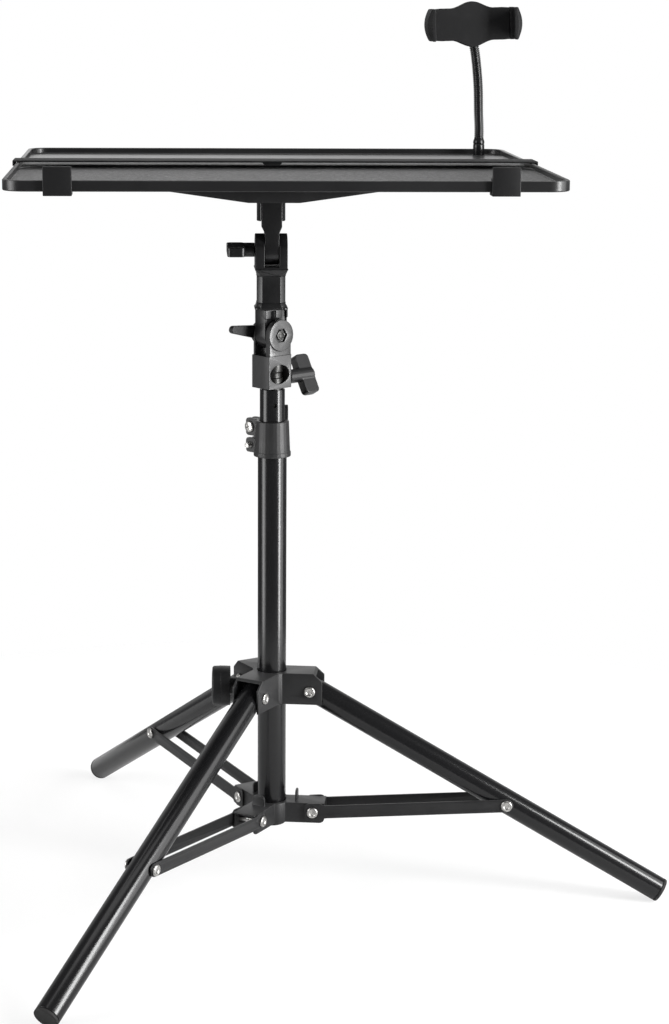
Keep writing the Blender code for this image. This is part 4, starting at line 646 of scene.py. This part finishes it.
def leg_place(leg):
    """A leg's pivot, with X along the leg and Y along its hinge."""
    pivot = joint_place("leg_fold_" + leg)
    return placed(pivot, centre("leg_tube_" + leg) - pivot, joint_axis("leg_fold_" + leg))


def hub_place(leg):
    """A brace's hub pivot, level, with Y along its hinge."""
    pivot = joint_place("brace_fold_" + leg)
    outward = pivot - AXIS
    outward.z = 0.0
    return placed(pivot, outward, Z.cross(outward))


# Lathe forms

GAP = 0.0003
TUBE_WALL = 0.0012
TUBE_EDGE = 0.0004
PIN_R = 0.0025
PIN_HEAD_R = 0.0044
PIN_HEAD = 0.0013


def tube_profile(radius, low, high):
    """A tube's wall as a closed outline that starts half way up its outside."""
    middle = (low + high) / 2
    bore = radius - TUBE_WALL
    corners = [(radius, middle), (radius, high), (bore, high), (bore, low), (radius, low), (radius, middle)]
    return softened(corners, TUBE_EDGE)


def rivet_head(radius, height, seat):
    """A set head with a rolled rim and a dished middle, from its outer edge to its centre."""
    shares = (
        (1.00, 0.00), (1.00, 0.25), (0.95, 0.62), (0.84, 0.90), (0.70, 1.00),
        (0.56, 0.92), (0.46, 0.62), (0.38, 0.52), (0.18, 0.58), (0.00, 0.62),
    )
    return [(radius * out, seat + height * up) for out, up in shares]


def double_pin(half):
    """A pin with a set head at each end."""
    head = [(PIN_R, half)] + rivet_head(PIN_HEAD_R, PIN_HEAD, half)
    tail = [(radius, -height) for radius, height in reversed(head)]
    return tail + head


def screw_head(radius, height, seat, shank, tip):
    """A pan head on a shank, from the centre of the head's top down to the shank's tip."""
    shares = ((0.00, 1.00), (0.45, 0.98), (0.75, 0.85), (0.95, 0.50), (1.00, 0.15))
    head = [(radius * out, seat + height * up) for out, up in shares]
    return head + [(radius, seat), (shank, seat), (shank, tip + shank * 0.4), (shank * 0.6, tip), (0.0, tip)]


# Ribs that repeat along a path, by Geometry Nodes

class NodeGroup(Nodes):
    """A geometry node tree with named inputs."""

    def __init__(self, name, sizes):
        super().__init__(bpy.data.node_groups.new(name, "GeometryNodeTree"))
        interface = self.tree.interface
        interface.new_socket("Geometry", in_out="INPUT", socket_type="NodeSocketGeometry")
        interface.new_socket("Geometry", in_out="OUTPUT", socket_type="NodeSocketGeometry")
        for key in sizes:
            interface.new_socket(key, in_out="INPUT", socket_type="NodeSocketFloat")
        interface.new_socket("Finish", in_out="INPUT", socket_type="NodeSocketMaterial")
        self.source = {socket.name: Value(self, socket) for socket in self.node("NodeGroupInput").outputs}

    def circle(self, resolution, radius):
        inputs = {"Resolution": resolution, "Radius": radius}
        return self.value("GeometryNodeCurvePrimitiveCircle", None, inputs)

    def swept(self, curve, profile, caps=False):
        inputs = {"Curve": curve, "Profile Curve": profile, "Fill Caps": caps}
        return self.value("GeometryNodeCurveToMesh", None, inputs)

    def ended(self, geometry):
        """Ends the tree with real geometry, smooth shading and the finish."""
        real = self.value("GeometryNodeRealizeInstances", None, {0: geometry})
        smooth = self.value("GeometryNodeSetShadeSmooth", None, {0: real})
        coated = self.value("GeometryNodeSetMaterial", None, {0: smooth, "Material": self.source["Finish"]})
        self.node("NodeGroupOutput", None, {0: coated})
        return self.tree


def ribs_along_path():
    """A core along a curve with round ribs set square to it at an even pitch."""
    group = NodeGroup("ribs_along_path", ("Core radius", "Rib radius", "Rib thickness", "Pitch"))
    source = group.source
    rib = group.swept(group.circle(40, source["Rib radius"]), group.circle(10, source["Rib thickness"]))
    core = group.swept(source["Geometry"], group.circle(32, source["Core radius"]), caps=True)
    inputs = {"Curve": source["Geometry"], "Length": source["Pitch"]}
    stations = group.value("GeometryNodeResampleCurve", {"mode": "LENGTH"}, inputs)
    tangent = group.value("GeometryNodeInputTangent")
    square = group.value("FunctionNodeAlignRotationToVector", {"axis": "Z"}, {"Vector": tangent})
    inputs = {"Points": stations, "Instance": rib, "Rotation": square}
    ribs = group.value("GeometryNodeInstanceOnPoints", None, inputs)
    return group.ended(group.value("GeometryNodeJoinGeometry", None, {"Geometry": [core, ribs]}))


PATH_RIBS = ribs_along_path()


def ribbed(points, core, rib, thickness, pitch, finish):
    """A ribbed pipe or thread along points, with its core's radius and its ribs' middle radius."""
    curve = bpy.data.curves.new("path", "CURVE")
    curve.dimensions = "3D"
    spline = curve.splines.new("POLY")
    spline.points.add(len(points) - 1)
    for point, place in zip(spline.points, points):
        point.co = (*place, 1.0)
    values = {"Core radius": core, "Rib radius": rib, "Rib thickness": thickness, "Pitch": pitch}
    values["Finish"] = FINISHES[finish]
    carrier = scene_object("ribs", curve)
    step = carrier.modifiers.new("grow", "NODES")
    step.node_group = PATH_RIBS
    for item in PATH_RIBS.interface.items_tree:
        if item.item_type == "SOCKET" and item.in_out == "INPUT" and item.name in values:
            step[item.identifier] = values[item.name]
    carrier.update_tag()
    return evaluated(carrier)


def threaded_rod(place, radius, low, high, pitch, finish="bright_nickel"):
    """A rod along Z with the crests of a thread on it."""
    ends = [place @ Vector((0.0, 0.0, low + (high - low) * i / 8)) for i in range(9)]
    crest = pitch * 0.36
    return ribbed(ends, radius - crest, radius - crest, crest, pitch, finish)


# The column and the mast

PLUG_FLANGE = 0.0027
PLUG_DISH = 0.0006
MAST_HOLE_BELOW_TOP = 0.0115
MAST_HOLE_AZIMUTH = -80.0
MAST_HOLE_R = 0.0017
GROOVE_UP = 0.0285
GROOVE_WIDTH = 0.0050
GROOVE_DEPTH = 0.0008
GROOVE_SLOPE = 0.0007
DRILL_REACH = 0.02


def build_column():
    low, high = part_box("lower_tube")
    radius = (high.x - low.x) / 2
    fitted("lower_tube_turned", lathed(tube_profile(radius, low.z, high.z), COLUMN, 96), "lower_tube")
    low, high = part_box("column_plug")
    stem = radius - TUBE_WALL - GAP
    flange = low.z + PLUG_FLANGE
    dish = low.z + PLUG_DISH
    profile = [
        (0.0, dish), (radius * 0.55, dish), (radius * 0.60, low.z), (radius, low.z),
        (radius, flange), (stem, flange), (stem, high.z), (0.0, high.z),
    ]
    fitted("column_plug_turned", lathed(softened(profile, 0.0007), COLUMN, 64), "column_plug")
    machined("brace_hub", 0.0005)
    machined("leg_collar", 0.0005)


def build_mast():
    low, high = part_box("upper_tube")
    radius = (high.x - low.x) / 2
    tube = lathed(tube_profile(radius, low.z, high.z), COLUMN, 96)
    level = shifted(COLUMN, z=high.z - MAST_HOLE_BELOW_TOP)
    outward = turned_to(level @ Matrix.Rotation(math.radians(MAST_HOLE_AZIMUTH), 4, "Z"), "X")
    fitted("upper_tube_turned", carved(tube, drill(outward, MAST_HOLE_R, 0.0, DRILL_REACH)), "upper_tube")
    low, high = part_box("mast_spigot")
    radius = (high.x - low.x) / 2
    neck = radius - GROOVE_DEPTH
    foot = low.z + GROOVE_UP
    head = foot + GROOVE_WIDTH
    profile = [
        (0.0, low.z), (radius, low.z), (radius, foot), (neck, foot + GROOVE_SLOPE),
        (neck, head - GROOVE_SLOPE), (radius, head), (radius, high.z), (0.0, high.z),
    ]
    fitted("mast_spigot_turned", lathed(softened(profile, 0.0009), COLUMN, 72), "mast_spigot", "dull_zinc")


# The legs with their pins and braces

LEG_R = 0.0095
LEG_TAIL = 0.0060
LEG_LENGTH = 0.3175
FOOT_CAP = 0.0026
FOOT_STEM = 0.0140
FOOT_DISH = 0.0003
COLLAR_HALF = 0.0116
STRAP_INNER = 0.0098
STRAP_THICKNESS = 0.0015
RIVET_R = 0.0020
RIVET_FOOT = 0.0001


def build_leg(leg):
    along = leg_place(leg)
    turned = turned_to(along, "X")
    tube = lathed(tube_profile(LEG_R, -LEG_TAIL, LEG_LENGTH - FOOT_CAP - GAP), turned, 80)
    hole = drill(turned_to(along, "Y"), PIN_R + GAP, -DRILL_REACH, DRILL_REACH)
    fitted("leg_tube_%s_turned" % leg, carved(tube, hole), "leg_tube_" + leg)
    stem = LEG_R - TUBE_WALL - GAP
    cap = LEG_LENGTH - FOOT_CAP
    profile = [
        (0.0, LEG_LENGTH - FOOT_DISH), (LEG_R * 0.5, LEG_LENGTH - FOOT_DISH * 2 / 3), (LEG_R, LEG_LENGTH),
        (LEG_R, cap), (stem, cap), (stem, cap - FOOT_STEM), (0.0, cap - FOOT_STEM),
    ]
    fitted("leg_foot_%s_turned" % leg, lathed(softened(profile, 0.0010, 5), turned, 64), "leg_foot_" + leg)
    straps_half = STRAP_INNER + STRAP_THICKNESS
    for key, place, half in (("leg_pin_", along, COLLAR_HALF), ("hub_pin_", hub_place(leg), straps_half)):
        fitted(key + leg + "_turned", lathed(double_pin(half + GAP), turned_to(place, "Y"), 40), key + leg)


def build_brace(leg, label, side):
    """One strap of a brace and the rivet that ends it, on one side of its leg."""
    key = "%s_%s" % (leg, label)
    machined("brace_strap_" + key, 0.00035)
    node = "brace_rivet_" + key
    hinge = hub_place(leg).col[1].xyz * side
    seat = STRAP_THICKNESS + GAP
    shank = [(0.0, RIVET_FOOT), (RIVET_R, RIVET_FOOT), (RIVET_R, seat)]
    foot = centre(node) - hinge * (PIN_HEAD + seat + RIVET_FOOT) / 2
    rivet = lathed(shank + rivet_head(PIN_HEAD_R, PIN_HEAD, seat), axis_frame(foot, hinge), 40)
    fitted(node + "_turned", rivet, node)


# The lock knob of the leg collar

KNOB_R = 0.0155
KNOB_NEAR = 0.0323
KNOB_FAR = 0.0465
KNOB_WAIST = 0.0394
KNOB_LINE = 0.0002
KNOB_DISH = 0.0006
KNOB_DISH_R = 0.0100
KNOB_RELIEF = 0.0007
KNOB_STEM_R = 0.0062
KNOB_STEM_NEAR = 0.0263


def build_collar_knob():
    """A barrel knob with a shallow waist line, a dished face and a bright stud."""
    place = axis_frame(joint_place("collar_knob_turn"), joint_axis("collar_knob_turn"))
    profile = [
        (0.0, KNOB_FAR - KNOB_DISH), (KNOB_DISH_R - 0.0010, KNOB_FAR - KNOB_DISH), (KNOB_DISH_R, KNOB_FAR),
        (KNOB_R - 0.0013, KNOB_FAR - 0.0003), (KNOB_R - 0.0003, KNOB_FAR - 0.0013),
        (KNOB_R, KNOB_WAIST + KNOB_LINE), (KNOB_R - KNOB_LINE, KNOB_WAIST), (KNOB_R, KNOB_WAIST - KNOB_LINE),
        (KNOB_R - 0.0002, KNOB_NEAR), (KNOB_R - 0.0020, KNOB_NEAR),
        (KNOB_R - 0.0025, KNOB_NEAR + KNOB_RELIEF), (KNOB_STEM_R + 0.0013, KNOB_NEAR + KNOB_RELIEF),
        (KNOB_STEM_R + 0.0008, KNOB_NEAR), (KNOB_STEM_R, KNOB_STEM_NEAR), (0.0, KNOB_STEM_NEAR),
    ]
    fitted("collar_knob_turned", lathed(softened(profile, 0.0005), place, 96), "collar_knob")
    stud = threaded_rod(place, radius=0.0030, low=0.0113, high=0.0270, pitch=0.0008)
    fitted("collar_knob_stud", stud, "collar_knob", "bright_nickel")


# The clamp at the top of the lower tube

CLAMP_EAR_AZIMUTH = 133.0
CLAMP_BOLT_AT = 0.0196
CLAMP_HEAD_R = 0.0045
CLAMP_HEAD_SEAT = 0.0049
CLAMP_SCREW_R = 0.0020
CLAMP_SCREW_TIP = -0.0046
CLAMP_FASTENERS = (
    {"node": "clamp_screw", "side": 1, "up": 0.00675, "head": 0.0016, "tail": False},
    {"node": "clamp_bolt", "side": -1, "up": -0.0074, "head": 0.0022, "tail": True},
)


def build_clamp():
    moulded("mast_clamp", grain=0.00034, passes=3, finish="semi_gloss_plastic")
    moulded("clamp_lever", grain=0.00030, passes=6)
    tube_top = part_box("lower_tube")[1].z
    azimuth = math.radians(CLAMP_EAR_AZIMUTH)
    ear = Vector((math.cos(azimuth), math.sin(azimuth), 0.0))
    for fastener in CLAMP_FASTENERS:
        middle = AXIS + ear * CLAMP_BOLT_AT + Z * (tube_top + fastener["up"])
        place = axis_frame(middle, Z.cross(ear) * fastener["side"])
        profile = screw_head(CLAMP_HEAD_R, fastener["head"], CLAMP_HEAD_SEAT, CLAMP_SCREW_R, CLAMP_SCREW_TIP)
        top = shifted(place, z=CLAMP_HEAD_SEAT + fastener["head"])
        recess = cross_recess(top, span=0.0022, width=0.00045, depth=0.0011)
        mesh = carved(lathed(softened(profile, 0.0002, 2), place), *recess)
        if fastener["tail"]:
            mesh = joined(mesh, threaded_rod(place, CLAMP_SCREW_R, low=-0.0080, high=-0.0040, pitch=0.0005))
        fitted(fastener["node"] + "_turned", mesh, fastener["node"])


# The tilting head

TILT_BOLT_R = 0.0028
TILT_BOLT_HEAD_R = 0.0039
TILT_BOLT_HEAD = (0.0087, 0.0100)
TILT_BOLT_END = -0.0146


def build_head():
    machined("socket_block", 0.0004)
    machined("head_knuckle", 0.0004, finish="satin_black_casting")
    machined("fork_body", 0.0004, finish="satin_black_casting")
    moulded("tilt_lever", grain=0.00030, passes=6)
    seat, face = TILT_BOLT_HEAD
    rim = face - 0.0004
    profile = [
        (0.0, face), (0.0018, face), (0.0022, rim), (0.0034, rim), (TILT_BOLT_HEAD_R, rim - 0.0006),
        (TILT_BOLT_HEAD_R, seat), (TILT_BOLT_R, seat), (TILT_BOLT_R, TILT_BOLT_END), (0.0, TILT_BOLT_END),
    ]
    bolt = lathed(softened(profile, 0.0003, 2), turned_to(SOCKET, "X"))
    fitted("tilt_bolt_turned", bolt, "tilt_bolt", "dull_zinc")


def build_wing_knob(node, joint, low, high):
    """The moulded wings of a knob and its threaded stud, which lies between two places along the joint."""
    moulded(node, grain=0.00034, passes=7, finish="satin_black_casting")
    stud = threaded_rod(axis_frame(joint_place(joint), joint_axis(joint)), 0.00256, low, high, pitch=0.0008)
    fitted(node + "_stud", stud, node, "bright_nickel")


# The neck, the bracket and the tray

BRACKET_SCREW_R = 0.0018
BRACKET_HEAD_R = 0.0036
BRACKET_HEAD = 0.0020


def build_bracket_screw(node):
    low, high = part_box(node)
    place = axis_frame(Vector((centre(node).x, centre(node).y, low.z)), -TRAY.col[2].xyz, Y)
    profile = screw_head(BRACKET_HEAD_R, BRACKET_HEAD, -BRACKET_HEAD, BRACKET_SCREW_R, low.z - high.z + GAP)
    recess = cross_recess(place, span=0.0019, width=0.0004, depth=0.0010)
    fitted(node + "_turned", carved(lathed(softened(profile, 0.0002, 2), place), *recess), node)


def build_tray():
    machined("neck", 0.0004, finish="satin_black_casting")
    machined("neck_sleeve", 0.0003, finish="gloss_black_paint")
    machined("tray_bracket", 0.0004)
    for number in range(1, 5):
        build_bracket_screw("bracket_screw_%d" % number)
    machined("tray", 0.0009, segments=4)
    machined("cross_bar", 0.0003, finish="dull_black_strip")
    machined("clip_left", 0.0005)
    machined("clip_right", 0.0005)


# The gooseneck

TRAY_FLOOR_UP = 0.0594
SLEEVE_R = 0.0046
SLEEVE_HEIGHT = 0.0138
SLEEVE_FOOT = -0.0006
SLEEVE_GROOVE = 0.0090
SLEEVE_STUD_R = 0.0030
GOOSENECK_R = 0.0039
GOOSENECK_RIB = 0.00066
GOOSENECK_PITCH = 0.0016
GOOSENECK_ROUTE = (
    (0.0000, 0.0000, 0.0000),
    (0.0000, 0.0000, 0.0075),
    (-0.0006, 0.0010, 0.0215),
    (-0.0009, 0.0033, 0.0395),
    (-0.0021, 0.0060, 0.0565),
    (-0.0040, 0.0078, 0.0710),
)


def smooth_route(points, count):
    """Points on a Catmull-Rom curve through the route's own points."""
    knots = [Vector(p) for p in points]
    knots = [2 * knots[0] - knots[1]] + knots + [2 * knots[-1] - knots[-2]]
    route = []
    spans = len(knots) - 3
    for i in range(count + 1):
        at = min(i / count * spans, spans - 1e-9)
        k = int(at)
        t = at - k
        a, b, c, d = knots[k : k + 4]
        square = (2 * a - 5 * b + 4 * c - d) * t**2
        cube = (3 * b - a - 3 * c + d) * t**3
        route.append(0.5 * (2 * b + (c - a) * t + square + cube))
    return route


def build_gooseneck():
    base = TRAY.inverted() @ centre("gooseneck_sleeve")
    place = shifted(TRAY, base.x, base.y, TRAY_FLOOR_UP + GAP)
    groove = SLEEVE_R - 0.0003
    root = SLEEVE_STUD_R - 0.0001
    profile = [
        (0.0, SLEEVE_HEIGHT), (SLEEVE_R - 0.0009, SLEEVE_HEIGHT), (SLEEVE_R, SLEEVE_HEIGHT - 0.0028),
        (SLEEVE_R, SLEEVE_GROOVE + 0.0006), (groove, SLEEVE_GROOVE + 0.0002),
        (groove, SLEEVE_GROOVE - 0.0002), (SLEEVE_R, SLEEVE_GROOVE - 0.0006), (SLEEVE_R, SLEEVE_FOOT),
        (root, SLEEVE_FOOT), (root, SLEEVE_FOOT - 0.0030), (0.0, SLEEVE_FOOT - 0.0030),
    ]
    stud = threaded_rod(place, SLEEVE_STUD_R, -0.0069, -0.0030, 0.0007, "matte_black_plastic")
    body = lathed(softened(profile, 0.0003, 2), place)
    fitted("gooseneck_sleeve_turned", joined(body, stud), "gooseneck_sleeve", "gloss_black_paint")
    machined("gooseneck_nut", 0.0003)
    start = place @ Vector((0.0, 0.0, SLEEVE_HEIGHT + GAP))
    turn = TRAY.to_3x3()
    points = [start + turn @ Vector(step) for step in GOOSENECK_ROUTE] + [joint_place("holder_swivel")]
    core = GOOSENECK_R - GOOSENECK_RIB * 1.5
    crest = GOOSENECK_R - GOOSENECK_RIB
    ribs = ribbed(smooth_route(points, 160), core, crest, GOOSENECK_RIB, GOOSENECK_PITCH, "black_steel")
    fitted("gooseneck_ribs", ribs, "gooseneck", "black_steel")
    moulded("ball_arm", grain=0.00026, passes=3, finish="soft_touch_black")


# The phone holder

HOLDER_HALF = 0.0127
HOLDER_SWELL = 0.0052
HOLDER_CAD_SWELL_REACH = 0.0260
HOLDER_SWELL_REACH = 0.0172
HOLDER_FACE = 0.0172
JAW_START = 0.0303
JAW_END = 0.0378
JAW_CORNER = 0.0055
JAW_BOW = 0.0036
JAW_LEAST_EDGE = 0.0018


def swell(x, reach):
    """How far the holder's outline stands above its level ends, at one place along it."""
    return HOLDER_SWELL * (1 + math.cos(math.pi * x / reach)) / 2 if abs(x) < reach else 0.0


def holder_form(x, y, z):
    """Draws the swollen middle in and lays the pad flush with the face."""
    z *= (HOLDER_HALF + swell(x, HOLDER_SWELL_REACH)) / (HOLDER_HALF + swell(x, HOLDER_CAD_SWELL_REACH))
    return x, max(-HOLDER_FACE, min(HOLDER_FACE, y)), z


def jaw_form(x, y, z):
    """Bows a jaw's outer edge over its whole height."""
    out = abs(x) - JAW_START
    if out <= 0.0:
        return x, y, z
    past = max(0.0, min(JAW_CORNER, abs(z) - HOLDER_HALF + JAW_CORNER))
    edge = JAW_END - JAW_START - JAW_CORNER + math.sqrt(JAW_CORNER**2 - past**2)
    bowed = JAW_END - JAW_START - JAW_BOW * (z / HOLDER_HALF) ** 2
    return math.copysign(JAW_START + out * bowed / max(edge, JAW_LEAST_EDGE), x), y, z


def build_holder():
    moulded("holder_body", 0.00036, 6, "soft_touch_black", HOLDER, holder_form)
    moulded("jaw_left", 0.00032, 6, "soft_touch_black", HOLDER, jaw_form)
    moulded("jaw_right", 0.00032, 6, "soft_touch_black", HOLDER, jaw_form)


build_column()
build_mast()
for leg in LEGS:
    build_leg(leg)
    build_brace(leg, "left", 1)
    build_brace(leg, "right", -1)
build_collar_knob()
build_clamp()
build_head()
build_wing_knob("socket_knob", "socket_knob_turn", 0.0085, 0.0175)
build_wing_knob("fork_knob", "fork_knob_turn", -0.0105, 0.0150)
build_tray()
build_gooseneck()
build_holder()


# Floor, light and camera

FLOOR_R = 0.72
LIGHTS_AIM = 0.45
SOFTBOX_HEIGHT = 1.70
CAMERA_FROM_COLUMN = (-0.0806, -1.784, 0.7046)
CAMERA_ANGLES = (-4.12, -12.63, 0.44)
CAMERA_LENS = 83.95


def build_floor():
    """A round pale disc that keeps the stand's soft shadow and gives its colour to what mirrors it."""
    bm = bmesh.new()
    bmesh.ops.create_circle(bm, cap_ends=True, segments=128, radius=FLOOR_R, matrix=Matrix.Translation(AXIS))
    floor = scene_object("floor", mesh_of(bm, "floor"))
    made = Finish("floor")
    path = made.node("ShaderNodeLightPath").outputs
    seen = (Value(made, path["Is Camera Ray"]) + Value(made, path["Is Transmission Ray"])).at_most(1.0)
    card = made.value("ShaderNodeBsdfDiffuse", None, {"Color": (0.75, 0.75, 0.75, 1.0)})
    shade = made.value("ShaderNodeBsdfDiffuse", None, {"Color": (0.30, 0.30, 0.30, 1.0)})
    glow = made.value("ShaderNodeEmission", None, {"Strength": 0.72})
    white = made.value("ShaderNodeAddShader", None, {0: shade, 1: glow})
    shown = made.value("ShaderNodeMixShader", None, {0: seen, 1: card, 2: white})
    made.fill(made.tree.nodes["Material Output"].inputs["Surface"], shown)
    floor.data.materials.append(made.material)


def area_light(name, place, target, width, height, radiance):
    """A soft light at a place beside the column's foot, turned to a height above that foot."""
    light = bpy.data.lights.new(name, "AREA")
    light.shape = "RECTANGLE"
    light.size = width
    light.size_y = height
    light.energy = radiance * math.pi * width * height
    lamp = scene_object(name, light)
    lamp.location = AXIS + Vector(place)
    lamp.rotation_euler = (AXIS + Z * target - lamp.location).to_track_quat("-Z", "Y").to_euler()


def build_lights():
    area_light("left_softbox", (-1.55, -0.45, 0.55), LIGHTS_AIM, 0.40, SOFTBOX_HEIGHT, 4.5)
    area_light("left_fill", (-1.62, -0.48, 0.55), LIGHTS_AIM, 1.05, SOFTBOX_HEIGHT, 3.2)
    area_light("right_softbox", (1.40, -0.85, 0.55), LIGHTS_AIM, 0.36, SOFTBOX_HEIGHT, 26.0)
    area_light("right_fill", (1.60, -0.30, 0.55), LIGHTS_AIM, 0.80, SOFTBOX_HEIGHT, 3.4)
    area_light("top_softbox", (0.0, 0.0, 2.2), 0.0, 1.5, 1.5, 1.5)


def build_world():
    """White to the camera, a white wall behind the stand to what mirrors it, and an even grey to the rest."""
    world = bpy.data.worlds.new("studio")
    bpy.context.scene.world = world
    world.use_nodes = True
    room = Nodes(world.node_tree)
    room.tree.nodes.clear()
    path = room.node("ShaderNodeLightPath").outputs
    towards = room.value("ShaderNodeTexCoord", output="Generated")
    behind = room.part_of(towards, "Y").within(0.45, 0.85)
    above = room.part_of(towards, "Z").within(-0.06, 0.03)
    higher = room.part_of(towards, "Z").within(0.08, 0.20)
    off_column = room.part_of(towards, "X") - 0.043
    aside = off_column.at_least(0.0 - off_column).within(0.085, 0.19)
    mirrored = behind * above * (1.0 - aside * 0.55) * (higher * 0.40 + 0.84) + 0.16
    camera = Value(room, path["Is Camera Ray"])
    glossy = (Value(room, path["Is Glossy Ray"]) + Value(room, path["Is Transmission Ray"])).at_most(1.0)
    strength = camera + (1.0 - camera) * (glossy * mirrored + (1.0 - glossy) * 0.35)
    light = room.value("ShaderNodeBackground", None, {"Color": WHITE, "Strength": strength})
    room.node("ShaderNodeOutputWorld", None, {"Surface": light})


def build_camera():
    lens = bpy.data.cameras.new("camera")
    lens.sensor_fit = "AUTO"
    lens.sensor_width = 36.0
    lens.lens = CAMERA_LENS
    camera = scene_object("camera", lens)
    yaw, pitch, roll = (math.radians(angle) for angle in CAMERA_ANGLES)
    forward = Vector((-math.sin(yaw) * math.cos(pitch), math.cos(yaw) * math.cos(pitch), math.sin(pitch)))
    level = Vector((math.cos(yaw), math.sin(yaw), 0.0))
    up = level.cross(forward)
    right = math.cos(roll) * level + math.sin(roll) * up
    top = math.cos(roll) * up - math.sin(roll) * level
    camera.matrix_world = axes_at(AXIS + Vector(CAMERA_FROM_COLUMN), right, top, -forward)
    bpy.context.scene.camera = camera


build_floor()
build_lights()
build_world()
build_camera()
bpy.context.scene.view_settings.view_transform = "Standard"

for node, thing in frame["nodes"].items():
    for slot in thing.material_slots:
        slot.material = FINISHES[SLOT_OF[node]]
